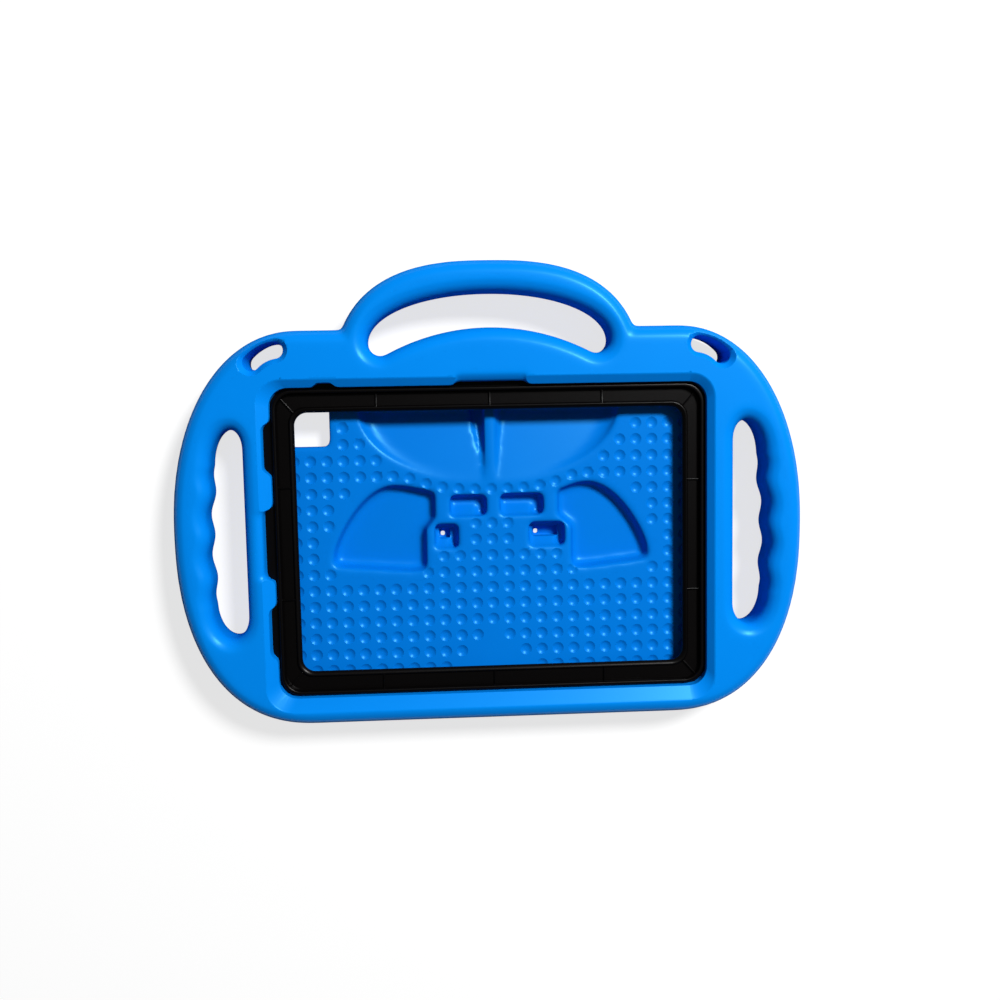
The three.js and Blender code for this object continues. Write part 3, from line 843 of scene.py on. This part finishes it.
    def slot_outline(self, flare: float) -> Outline:
        """Right strap slot, a bent oval, grown all round by a flare."""
        middle = self.tablet.edge(*self.slot_offset)
        angle = math.radians(self.slot_angle)
        bend = self.slot_bend
        centre = (
            middle[0] - bend * math.cos(angle),
            middle[1] - bend * math.sin(angle),
        )
        length, width = self.slot_size
        half = width / 2 + flare
        sweep = (length - width) / 2 / bend
        first, last = angle - sweep, angle + sweep

        def cap(at: float, start: float) -> Outline:
            """Half circle round one end of the oval."""
            end = (centre[0] + bend * math.cos(at), centre[1] + bend * math.sin(at))
            turns = (start, start + math.pi)
            return super_arc(end, (half, half), 2, turns, END_STEPS)

        far, near = bend + half, bend - half
        outline = super_arc(centre, (far, far), 2, (first, last), SLOT_STEPS)
        outline += cap(last, last)[1:-1]
        outline += super_arc(centre, (near, near), 2, (last, first), SLOT_STEPS)
        outline += cap(first, first + math.pi)[1:-1]
        return outline

    def wing_outline(self, side: Side) -> Outline:
        """Right wing recess with the inner edges of that side."""
        upper, lower = self.wing_inner[side]
        peak, tip = Vector(self.wing_peak), Vector(self.wing_tip)
        bulge, corner = Vector(self.wing_bulge), self.wing_round
        foot = self.wing_foot
        bow, shoulder = (tip.lerp(peak, share) + bulge for share in self.wing_bows)
        ease = 0.9 * corner
        lift = (tip.x - self.wing_lean[0], tip.y + ease)
        start = (tip.x - ease, tip.y - self.wing_lean[1])
        heel = (lower, foot)
        outline = [(lower, self.wing_step - self.wing_ease)]
        outline += bezier(
            (lower, foot + corner), heel, heel, (lower + corner, foot), WING_STEPS
        )
        outline += bezier(start, tuple(tip), tuple(tip), lift, WING_STEPS)
        crest = (shoulder.x, peak.y)
        outline += bezier(lift, tuple(bow), crest, tuple(peak), 3 * WING_STEPS)[1:]
        level = (peak.x - self.wing_level, peak.y)
        fall = (upper + self.wing_fall[0], self.wing_shoulder + self.wing_fall[1])
        end = (upper, self.wing_shoulder)
        outline += bezier(tuple(peak), level, fall, end, WING_STEPS)[1:]
        outline.append((upper, self.wing_step))
        return outline

    def blank(self) -> bpy.types.Object:
        """The solid body: its outline raised and rounded at the top and the back."""
        piece = prism("foam_shell_visual", self.body_outline(), 0, self.thickness)
        make_active(piece)
        bpy.ops.object.mode_set(mode="EDIT")
        bpy.ops.mesh.select_mode(type="EDGE")
        mesh = bmesh.from_edit_mesh(piece.data)
        for edge in mesh.edges:
            low, high = sorted(v.co.z for v in edge.verts)
            edge.select_set(high - low < MM)
        bmesh.update_edit_mesh(piece.data)
        bpy.ops.mesh.bevel(
            offset=self.edge_round * MM, segments=10, profile=0.5, affect="EDGES"
        )
        bpy.ops.object.mode_set(mode="OBJECT")
        return piece

    def opening_cutter(self, name: str, outline: Outline) -> bpy.types.Object:
        """A finger opening right through, rounded outwards at both mouths."""
        flare = self.opening_round
        lower, upper = [(-PAST, flare)], [(self.thickness + PAST, flare)]
        for i in range(ROUND_STEPS + 1):
            turn = math.pi / 2 * i / ROUND_STEPS
            share, out = 1 - math.cos(turn), flare * (1 - math.sin(turn))
            lower.append((self.opening_heel * share, out))
            upper.append((self.thickness - flare * share, out))
        levels = lower + upper[::-1]
        return lofted(name, [at_level(grown(outline, out), z) for z, out in levels])

    def bay_cutters(self) -> list[bpy.types.Object]:
        """The tablet's bay, the groove for the frame and the window in the lip."""
        tablet = self.tablet
        room = tablet.clearance
        bay = rounded_rectangle(tablet.edge(room, room), tablet.corner)
        reach = [outset + self.flange_reach for outset in self.rim_outset]
        groove = rounded_rectangle(
            tablet.edge(*reach), self.lip_corner + self.flange_reach / 2
        )
        window = self.mouth_outline(0)
        return [
            prism("bay", bay, self.floor, self.ledge + PAST),
            prism("groove", groove, self.ledge, self.lip),
            prism("window", window, self.lip - PAST, self.thickness + PAST),
        ]

    def mouth_outline(self, share: float, out: float = 0.0) -> Outline:
        """Outline of the sloped mouth.

        Args:
            share: How far up the slope: 0 at the lip's edge, 1 at the top.
            out: How far it is moved out besides.

        Returns:
            The outline, anticlockwise.
        """
        stand = (outset + self.lip_standoff for outset in self.rim_outset)
        reach = [a + share * b + out for a, b in zip(stand, self.mouth_slope)]
        corner = self.lip_corner + share * (self.mouth_corner - self.lip_corner)
        middle = (share * self.mouth_shift[0], share * self.mouth_shift[1])
        return rounded_rectangle(self.tablet.edge(*reach), corner + out, middle)

    def mouth_cutter(self) -> bpy.types.Object:
        """The slope round the mouth of the bay, from inside the window to the top."""
        edge = self.lip + self.lip_edge
        rise = self.thickness - edge
        inside = -0.3  # the slope begins this share of itself inside the window
        turn = self.mouth_round
        rings = [
            at_level(self.mouth_outline(inside), edge + inside * rise),
            at_level(self.mouth_outline(1, -turn / 2), self.thickness - turn * 0.8),
            at_level(self.mouth_outline(1, 0), self.thickness - turn * 0.35),
            at_level(self.mouth_outline(1, turn), self.thickness),
            at_level(self.mouth_outline(1, turn), self.thickness + PAST),
        ]
        return lofted("mouth", rings)

    def notch_outline(self, notch: Notch, lip: float, reach: float) -> Outline:
        """Outline of a notch: slanted ends, and round corners at its far side."""
        half = notch.length / 2
        slant = half + self.notch_slant
        lean = self.notch_slant * self.notch_round / (reach - lip)

        def corner(sign: int) -> Outline:
            """The round corner on one end."""
            point = (notch.middle + sign * half, reach)
            rise = (notch.middle + sign * (half + lean), reach - self.notch_round)
            run = (notch.middle + sign * (half - self.notch_round), reach)
            return bezier(rise, point, point, run, 4)

        return [
            (notch.middle + slant, lip),
            *corner(1),
            *reversed(corner(-1)),
            (notch.middle - slant, lip),
        ]

    def notch_cutters(self) -> list[bpy.types.Object]:
        """Notches for the buttons at the top and the left, and the thumb relief."""
        stand = [outset + self.lip_standoff for outset in self.rim_outset]
        lip_x, lip_y = self.tablet.edge(*stand)

        def turned(outline: Outline) -> Outline:
            """Turns an outline from the top edge to the left edge."""
            return [(-y, x) for x, y in outline]

        def cutter(notch: Notch, lip: float, left: bool) -> bpy.types.Object:
            """One notch, wider at the top."""
            low = self.notch_outline(notch, lip - PAST, lip + notch.reach)
            reach = lip + notch.reach + notch.slope
            high = self.notch_outline(notch, lip - PAST, reach)
            if left:
                low, high = turned(low), turned(high)
            rings = [
                at_level(low, self.lip - PAST),
                at_level(low, self.lip + self.lip_edge),
                at_level(high, self.thickness),
                at_level(high, self.thickness + PAST),
            ]
            return lofted("notch", rings)

        outline = self.notch_outline(
            self.relief, lip_x - PAST, lip_x + self.relief.reach
        )
        relief = turned(outline)
        shallow = [
            Vector((x, y, self.thickness - (self.relief_drop if x > -lip_x else 0)))
            for x, y in relief
        ]
        cutters = [cutter(notch, lip_y, False) for notch in self.top_notches]
        cutters += [cutter(notch, lip_x, True) for notch in self.side_notches]
        cutters.append(lofted("relief", [shallow, at_level(relief, self.thickness + PAST)]))
        return cutters

    def camera_cutter(self) -> bpy.types.Object:
        """The camera window through the floor, at the tablet's upper left corner."""
        half = [size / 2 for size in self.camera_size]
        centre = (
            -self.tablet.half[0] + self.camera_inset + half[0],
            self.tablet.half[1] - self.camera_inset - half[1],
        )
        outline = rounded_rectangle(tuple(half), self.camera_corner, centre)
        return prism("camera", outline, -PAST, self.floor + PAST)

    def dish_cutter(self) -> bpy.types.Object:
        """Half dish that deepens towards the top, with a rib left standing in it."""
        centre = (0.0, self.tablet.half[1] - self.dish_below)
        turns = (math.pi, 2 * math.pi)

        def edge(inset: float) -> Outline:
            """The dish's outline, drawn in."""
            reach = (self.dish_reach - inset, self.dish_drop - inset / 2)
            return super_arc(centre, reach, 2, turns, DISH_STEPS)

        def sunk(inset: float, share: float) -> Ring:
            """A ring of the dish's wall, at a share of its depth there."""
            ring = []
            for x, y in edge(inset):
                depth = self.dish_depth * (y - centre[1] + self.dish_drop)
                depth = max(depth / self.dish_drop, 0) * share
                ring.append(Vector((x, y, self.floor - depth)))
            return ring

        steps = 6
        rings = []
        for i in range(steps + 1):
            turn = math.pi / 2 * i / steps
            inset = self.dish_wall * (1 - math.sin(turn))
            rings.append(sunk(inset, math.cos(turn)))
        rings.append(at_level(edge(0), self.floor + PAST))
        dish = lofted("dish", rings)
        low, high = centre[1] - self.dish_drop - PAST, centre[1] + PAST

        def crown(share: float, z: float) -> Ring:
            """The rib's outline, spread by a share of its full slope."""
            left = self.dish_rib[0] - share * self.dish_rib_spread[0]
            right = self.dish_rib[1] + share * self.dish_rib_spread[1]
            return at_level([(left, low), (right, low), (right, high), (left, high)], z)

        rib = [
            crown(1, self.floor - self.dish_depth - PAST),
            crown(1, self.floor - self.dish_depth),
            crown(0, self.floor),
            crown(0, self.thickness),
        ]
        combine(dish, [lofted("rib", rib)])
        return dish

    def groove_cutter(self) -> bpy.types.Object:
        """The wedge beside the rib, which is deep at the top and runs out to a point."""
        width, length, depth = self.rib_groove
        top = self.tablet.half[1] - self.dish_below
        right = self.dish_rib[0] - self.dish_rib_spread[0]
        tip = 0.4
        outline = [
            (right, top - length),
            (right, top),
            (right - width, top),
            (right - tip, top - length),
        ]
        low = self.floor - self.dish_depth - depth
        high = self.floor - PAST
        levels = (high, low, low, high)
        bottom = [Vector((x, y, z)) for (x, y), z in zip(outline, levels)]
        return lofted("rib_groove", [bottom, at_level(outline, self.floor)])

    def wing_cutters(self) -> list[bpy.types.Object]:
        """The two wing recesses in the floor."""
        cutters = []
        for side in Side:
            outline = sided(self.wing_outline(side), side)
            rings = [
                at_level(grown(outline, -self.wing_wall), self.floor - self.wing_depth),
                at_level(outline, self.floor),
                at_level(outline, self.floor + PAST),
            ]
            cutters.append(lofted("wing", rings))
        return cutters

    def pocket_cutters(self) -> list[bpy.types.Object]:
        """The four pockets, each with a ramp."""
        cutters = []
        bottom = self.floor - self.pocket_depth
        for pocket in self.pockets:
            half = (pocket.width / 2, pocket.height / 2)
            centre = (pocket.left + half[0], pocket.foot + half[1])
            outline = rounded_rectangle(half, self.pocket_corner, centre, 5)
            hole = prism("pocket", outline, bottom, self.floor + PAST)
            right = pocket.left + pocket.width - pocket.well
            profile = [
                (pocket.foot - PAST, bottom - PAST),
                (centre[1], bottom - PAST),
                (centre[1], bottom),
                (pocket.foot - PAST, self.floor - self.pocket_land),
            ]
            ends = (pocket.left - PAST, right)
            ramp = lofted("ramp", [[Vector((x, y, z)) for y, z in profile] for x in ends])
            combine(hole, [ramp])
            cutters.append(hole)
        return cutters

    def slot_cutters(self) -> list[bpy.types.Object]:
        """A narrow well in each lower pocket, and its outlet through the back."""
        cutters = []
        inset, height, rise = self.pocket_slot
        corner = self.pocket_corner / 2
        for pocket in self.pockets:
            if not pocket.slot:
                continue
            left = pocket.left + inset
            level = pocket.foot + pocket.height / 2 + rise
            middle = (left + pocket.slot / 2, level)
            well = rounded_rectangle((pocket.slot / 2, height / 2), corner, middle, 3)
            cutters.append(prism("well", well, self.slot_land, self.floor + PAST))
            half = (self.slot_outlet[0] / 2, self.slot_outlet[1] / 2)
            place = (left + half[0] + corner, level - height / 2 + half[1] + corner)
            outlet = rounded_rectangle(half, corner, place, 3)
            cutters.append(prism("outlet", outlet, -PAST, self.slot_land + PAST))
        return cutters

    def strap_cutters(self) -> list[bpy.types.Object]:
        """The two strap slots, each drafted, with a funnel at its mouth."""
        draft_depth, draft = self.slot_draft
        top, depth, flared = self.thickness, self.funnel_depth, self.funnel_flare
        ease = 0.2  # rounding at the foot and the mouth of the funnel
        levels = (
            (-PAST, self.slot_heel),
            (0.0, self.slot_heel),
            (top - draft_depth, 0.0),
            (top - depth * 1.2, draft),
            (top - depth, draft + ease),
            (top - depth * 0.1, flared - ease),
            (top, flared),
            (top + PAST, flared),
        )
        cutters = []
        for side in Side:
            rings = [
                at_level(sided(self.slot_outline(flare), side), height)
                for height, flare in levels
            ]
            cutters.append(lofted("strap_slot", rings))
        return cutters

    def dimple_places(self) -> list[Point]:
        """Middles of the dimples in the floor."""
        shift_x, shift_y = self.dimple_shift
        places = []
        for row, runs in self.dimple_runs.items():
            for first, last in runs:
                for column in range(first, last + 1):
                    x = column * self.dimple_pitch + shift_x
                    places.append((x, row * self.dimple_pitch + shift_y))
        first, last = self.arc_run
        for column in range(first, last + 1):
            share = abs(column / last) ** 3
            x = column * self.dimple_pitch + shift_x
            places.append((x, self.arc_height + self.arc_rise * share))
        return places

    def dimple_cutter(self) -> bpy.types.Object:
        """All the dimples: one small bowl is modelled, then copied to each place."""
        places = self.dimple_places()
        piece = start_piece("dimples")
        x, y = places[0]
        radius, depth = self.dimple_radius, self.dimple_depth
        ball = (radius**2 + depth**2) / (2 * depth)

        def lower(share: float, drop: float) -> None:
            """Pulls the bowl's bottom down and draws it in."""
            bpy.ops.mesh.extrude_region_move(
                TRANSFORM_OT_translate={"value": (0, 0, -drop * MM)}
            )
            bpy.ops.transform.resize(
                value=(share, share, 1), center_override=(x * MM, y * MM, 0)
            )

        def sunk(share: float) -> float:
            """Depth of the bowl at a share of its radius."""
            return math.sqrt(ball**2 - (share * radius) ** 2) - (ball - depth)

        bpy.ops.mesh.primitive_circle_add(
            vertices=DIMPLE_SIDES,
            radius=radius * MM,
            fill_type="NGON",
            location=(x * MM, y * MM, (self.floor + PAST) * MM),
        )
        lower(1.0, PAST)
        for outer, inner in zip(self.dimple_rings, self.dimple_rings[1:]):
            lower(inner / outer, sunk(inner) - sunk(outer))
        bpy.ops.mesh.select_all(action="SELECT")
        bpy.ops.mesh.normals_make_consistent(inside=False)
        for here, there in zip(places, places[1:]):
            step = (Vector(there) - Vector(here)).to_3d() * MM
            bpy.ops.mesh.duplicate_move(TRANSFORM_OT_translate={"value": step})
        bpy.ops.object.mode_set(mode="OBJECT")
        return piece

    def soften(self, piece: bpy.types.Object) -> None:
        """Rounds every edge as a foam mould does: fine even cells, then a light smoothing."""
        apply_modifier(piece, "REMESH", mode="VOXEL", voxel_size=self.voxel * MM)
        apply_modifier(piece, "SMOOTH", factor=0.5, iterations=self.smooth_passes)

    def clean_flats(self, piece: bpy.types.Object) -> None:
        """Refills the flat back, floor and top, whose even cells become large faces."""
        make_active(piece)
        bpy.ops.object.mode_set(mode="EDIT")
        for level in (0.0, self.floor, self.thickness):
            self.select_flat(piece, level)
            # Less and then more, which leaves out thin necks and a border of small cells.
            for _ in range(3):
                bpy.ops.mesh.select_less()
            for _ in range(2):
                bpy.ops.mesh.select_more()
            bpy.ops.mesh.delete(type="FACE")
            bpy.ops.mesh.select_mode(type="EDGE")
            bpy.ops.mesh.select_non_manifold()
            bpy.ops.mesh.fill()
            bpy.ops.transform.resize(
                value=(1, 1, 0), center_override=(0, 0, level * MM)
            )
        end_piece()

    def select_flat(self, piece: bpy.types.Object, level: float) -> None:
        """Selects the faces that lie wholly at one height, in edit mode."""
        bpy.ops.mesh.select_mode(type="FACE")
        mesh = bmesh.from_edit_mesh(piece.data)
        for face in mesh.faces:
            strays = (abs(v.co.z - level * MM) > FLAT * MM for v in face.verts)
            face.select_set(not any(strays))
        bmesh.update_edit_mesh(piece.data)

    def finish_edges(self, piece: bpy.types.Object) -> None:
        """Shades the skin smooth and keeps the flats flat up to their rims."""
        make_active(piece)
        bpy.ops.object.shade_smooth()
        bpy.ops.object.mode_set(mode="EDIT")
        for level in (0.0, self.floor, self.thickness):
            self.select_flat(piece, level)
            bpy.ops.mesh.region_to_loop()
            bpy.ops.mesh.mark_sharp()
        bpy.ops.object.mode_set(mode="OBJECT")
        apply_modifier(
            piece, "WEIGHTED_NORMAL", mode="FACE_AREA", weight=50, keep_sharp=True
        )

    def build(self) -> bpy.types.Object:
        """Models the whole shell.

        Returns:
            The finished piece, ready for its finish.
        """
        piece = self.blank()
        grip = self.grip_opening()
        openings = [
            self.opening_cutter("handle_opening", self.handle_opening()),
            self.opening_cutter("grip_opening", grip),
            self.opening_cutter("grip_opening", mirrored(grip)),
        ]
        combine(piece, openings)
        combine(piece, self.bay_cutters())
        combine(piece, self.notch_cutters())
        combine(piece, [self.camera_cutter(), self.dish_cutter(), self.groove_cutter()])
        combine(piece, self.wing_cutters())
        combine(piece, self.pocket_cutters())
        self.soften(piece)
        self.clean_flats(piece)
        combine(piece, [self.mouth_cutter(), *self.strap_cutters()])
        combine(piece, [*self.slot_cutters(), self.dimple_cutter()])
        self.finish_edges(piece)
        return piece


@dataclass
class InnerFrame:
    """The rigid black frame over the tablet's edge, with thin ribs across its trough."""

    tablet: Tablet
    underside: float
    cover: Point = (8.1, 7.2)  # how far it reaches in over the glass
    rim_outset: Point = RIM_OUTSET
    rim_width: float = 1.6
    rim_height: float = 3.9
    rim_chamfer: float = 0.4
    rim_draft: float = 0.25
    rim_corner: float = RIM_CORNER
    window_corner: float = 6.0
    corner_growth: float = 0.6
    flange_width: float = 7.0
    flange_thickness: float = 1.6
    plate: float = 0.9
    bevel_width: float = 1.4
    bevel_height: float = 2.1
    crest: float = 0.6
    rib_thickness: float = 0.7
    rib_places: tuple[float, ...] = (-52.0, 0.0, 52.0)
    rib_heights: tuple[float, ...] = (-26.0, 26.0)
    rib_drop: float = 0.15
    corner_rib_inset: float = 1.6
    corner_rib_reach: float = 2.6
    edge_ease: float = 0.15
    flat_draft: float = 0.02
    trough_round: float = 0.4
    bevel_bow: Point = (0.55, 0.35)  # its middle: share of its width, and depth

    def section(self) -> list[tuple[float, float, float]]:
        """The ring's section: share of the way in to the window, distance out, height."""
        half = self.rim_width / 2
        chamfer, draft = self.rim_chamfer, self.rim_draft
        high = self.rim_height
        trough = self.bevel_width + self.crest
        soft, lift, turn = self.edge_ease, self.flat_draft, self.trough_round
        bow, sink = self.bevel_bow
        return [
            (1, 0, soft),
            (1, soft, 0),
            (0, self.flange_width - soft, lift),
            (0, self.flange_width, soft),
            (0, self.flange_width, self.flange_thickness - soft),
            (0, self.flange_width - soft, self.flange_thickness),
            (0, half + draft, self.flange_thickness + lift),
            (0, half, high - chamfer),
            (0, half - chamfer / 3, high - chamfer / 3),
            (0, half - chamfer, high),
            (0, chamfer - half, high),
            (0, chamfer / 3 - half, high - chamfer / 3),
            (0, -half, high - chamfer),
            (0, -half - draft, self.plate + turn),
            (0, -half - draft - turn, self.plate),
            (1, trough + draft + turn, self.plate + soft),
            (1, trough + 0.05, self.bevel_height - soft),
            (1, trough - soft, self.bevel_height),
            (1, self.bevel_width + soft, self.bevel_height),
            (1, self.bevel_width * bow, self.bevel_height - sink),
            (1, soft, self.plate + 0.1),
            (1, 0, self.plate - soft),
        ]

    def ring(self) -> bpy.types.Object:
        """The ring itself: its section drawn once round, as outlines joined in a loop."""
        rings = []
        for share, out, height in self.section():
            reach = [
                outset - share * (outset + cover) + out
                for outset, cover in zip(self.rim_outset, self.cover)
            ]
            corner = self.rim_corner + share * (self.window_corner - self.rim_corner)
            corner += out * self.corner_growth
            outline = rounded_rectangle(self.tablet.edge(*reach), corner)
            rings.append(at_level(outline, self.underside + height))
        return lofted("inner_frame_visual", rings, endless=True)

    def rib(self, start: Vector, end: Vector) -> bpy.types.Object:
        """One thin rib between two points of the trough, from a cube with eased edges."""
        across = end - start
        height = self.bevel_height - self.plate / 2
        middle = (start + end) / 2
        level = self.underside + self.bevel_height - self.rib_drop - height / 2
        deselect_all()
        bpy.ops.mesh.primitive_cube_add(
            size=MM,
            location=(middle.x * MM, middle.y * MM, level * MM),
            rotation=(0, 0, math.atan2(across.y, across.x)),
            scale=(across.length, self.rib_thickness, height),
        )
        piece = bpy.context.object
        bpy.ops.object.transform_apply(location=True, rotation=True, scale=True)
        width = self.rib_thickness * 0.4 * MM
        apply_modifier(piece, "BEVEL", width=width, segments=3, limit_method="ANGLE")
        return piece

    def ribs(self) -> list[bpy.types.Object]:
        """The ribs of the four sides and the four corners."""
        crest = self.bevel_width + self.crest / 2
        crest_x, crest_y = self.tablet.edge(*(crest - cover for cover in self.cover))
        rim_x, rim_y = self.tablet.edge(*self.rim_outset)
        pieces = []
        for sign in (1, -1):
            for place in self.rib_places:
                ends = Vector((place, sign * crest_y)), Vector((place, sign * rim_y))
                pieces.append(self.rib(*ends))
            for place in self.rib_heights:
                ends = Vector((sign * crest_x, place)), Vector((sign * rim_x, place))
                pieces.append(self.rib(*ends))
            for end in (1, -1):
                inner = (crest_x - self.corner_rib_inset, crest_y - self.corner_rib_inset)
                outer = (rim_x - self.corner_rib_reach, rim_y - self.corner_rib_reach)
                turn = Vector((sign, end))
                pieces.append(self.rib(turn * Vector(inner), turn * Vector(outer)))
        return pieces

    def build(self) -> bpy.types.Object:
        """Models the frame and its ribs as one solid."""
        piece = self.ring()
        combine(piece, self.ribs(), Combine.ADD)
        make_active(piece)
        bpy.ops.object.shade_smooth_by_angle(angle=math.radians(40))
        return piece


# Studio


@dataclass(frozen=True)
class Studio:
    """A plain pale floor, one soft key light and the camera above the case."""

    camera_place: Vector = Vector((-21.4, 61.0, 481.2))
    camera_turn: Vector = Vector((-5.296, -3.122, -1.351))  # degrees
    lens: float = 36.0
    key_place: Vector = Vector((720.0, 800.0, 1340.0))
    key_size: float = 380.0
    key_power: float = 37.5
    fill_strength: float = 0.1
    floor_glow: float = 0.74
    floor_colour: str = "929292"
    floor_side: float = 6000.0
    floor_drop: float = 0.2  # how far the floor lies below the back of the case

    def camera(self) -> None:
        """Adds the camera that looks down on the case."""
        deselect_all()
        bpy.ops.object.camera_add(location=self.camera_place * MM)
        camera = bpy.context.object
        camera.name = "studio_camera"
        camera.rotation_mode = "ZYX"
        camera.rotation_euler = [math.radians(a) for a in self.camera_turn]
        camera.data.lens = self.lens
        camera.data.sensor_width = self.lens
        camera.data.clip_start = 0.01
        camera.data.clip_end = 20
        bpy.context.scene.camera = camera

    def lamp(self, name: str, place: Vector, size: float, power: float) -> None:
        """Adds one round area lamp that looks at the middle of the case."""
        deselect_all()
        bpy.ops.object.light_add(type="AREA", location=place * MM)
        light = bpy.context.object
        light.name = name
        light.data.shape = "DISK"
        light.data.size = size * MM
        light.data.energy = power
        light.rotation_mode = "QUATERNION"
        light.rotation_quaternion = (-place).to_track_quat("-Z", "Y")

    def world(self) -> None:
        """Lights the scene evenly from all round."""
        world = bpy.data.worlds.new("studio")
        bpy.context.scene.world = world
        world.use_nodes = True
        tree = world.node_tree
        tree.nodes.clear()
        light = tree.nodes.new("ShaderNodeBackground")
        light.inputs["Strength"].default_value = self.fill_strength
        output = tree.nodes.new("ShaderNodeOutputWorld")
        tree.links.new(light.outputs["Background"], output.inputs["Surface"])

    def floor(self) -> None:
        """Adds the pale floor under the case."""
        deselect_all()
        bpy.ops.mesh.primitive_plane_add(
            size=self.floor_side * MM, location=(0, 0, -self.floor_drop * MM)
        )
        floor = bpy.context.object
        floor.name = "studio_floor"
        material, shader = blank_material("pale_floor")
        shader.inputs["Roughness"].default_value = 0.9
        shader.inputs["Base Color"].default_value = linear(self.floor_colour)
        shader.inputs["Emission Color"].default_value = linear("ffffff")
        rays = add_node(material, "ShaderNodeLightPath").outputs
        clear = add_node(
            material,
            "ShaderNodeMath",
            {"operation": "MAXIMUM"},
            {0: rays["Is Glossy Ray"], 1: rays["Is Transmission Ray"]},
        )
        seen = add_node(
            material,
            "ShaderNodeMath",
            {"operation": "MAXIMUM"},
            {0: rays["Is Camera Ray"], 1: clear.outputs["Value"]},
        )
        glow = add_node(
            material,
            "ShaderNodeMath",
            {"operation": "MULTIPLY", 1: self.floor_glow},
            {0: seen.outputs["Value"]},
        )
        strength = shader.inputs["Emission Strength"]
        material.node_tree.links.new(glow.outputs["Value"], strength)
        floor.data.materials.append(material)

    def build(self) -> None:
        """Sets up the whole studio."""
        self.camera()
        self.world()
        self.floor()
        self.lamp("key_lamp", self.key_place, self.key_size, self.key_power)
        bpy.context.scene.view_settings.view_transform = "Standard"


def dress(
    piece: bpy.types.Object, material: bpy.types.Material, node: str
) -> None:
    """Gives a piece its finish, its body and the CAD node that it stands for.

    Args:
        piece: The finished mesh.
        material: Its finish.
        node: The CAD node that it replaces.
    """
    piece.data.materials.clear()
    piece.data.materials.append(material)
    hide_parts(node)
    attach(piece, "root")
    piece.data.calc_loop_triangles()
    log.info("%s: %d triangles", piece.name, len(piece.data.loop_triangles))


def main() -> None:
    """Builds the studio and the two pieces of the case."""
    logging.basicConfig(level=logging.INFO, format="%(name)s: %(message)s")
    Studio().build()
    tablet = Tablet()
    foam = FoamShell(tablet)
    shell = foam.build()
    dress(shell, MouldedFoam().material(), "foam_shell")
    ring = InnerFrame(tablet, foam.ledge + FRAME_GAP).build()
    dress(ring, SatinAbs().material(), "inner_frame")


if __name__ == "__main__":
    main()
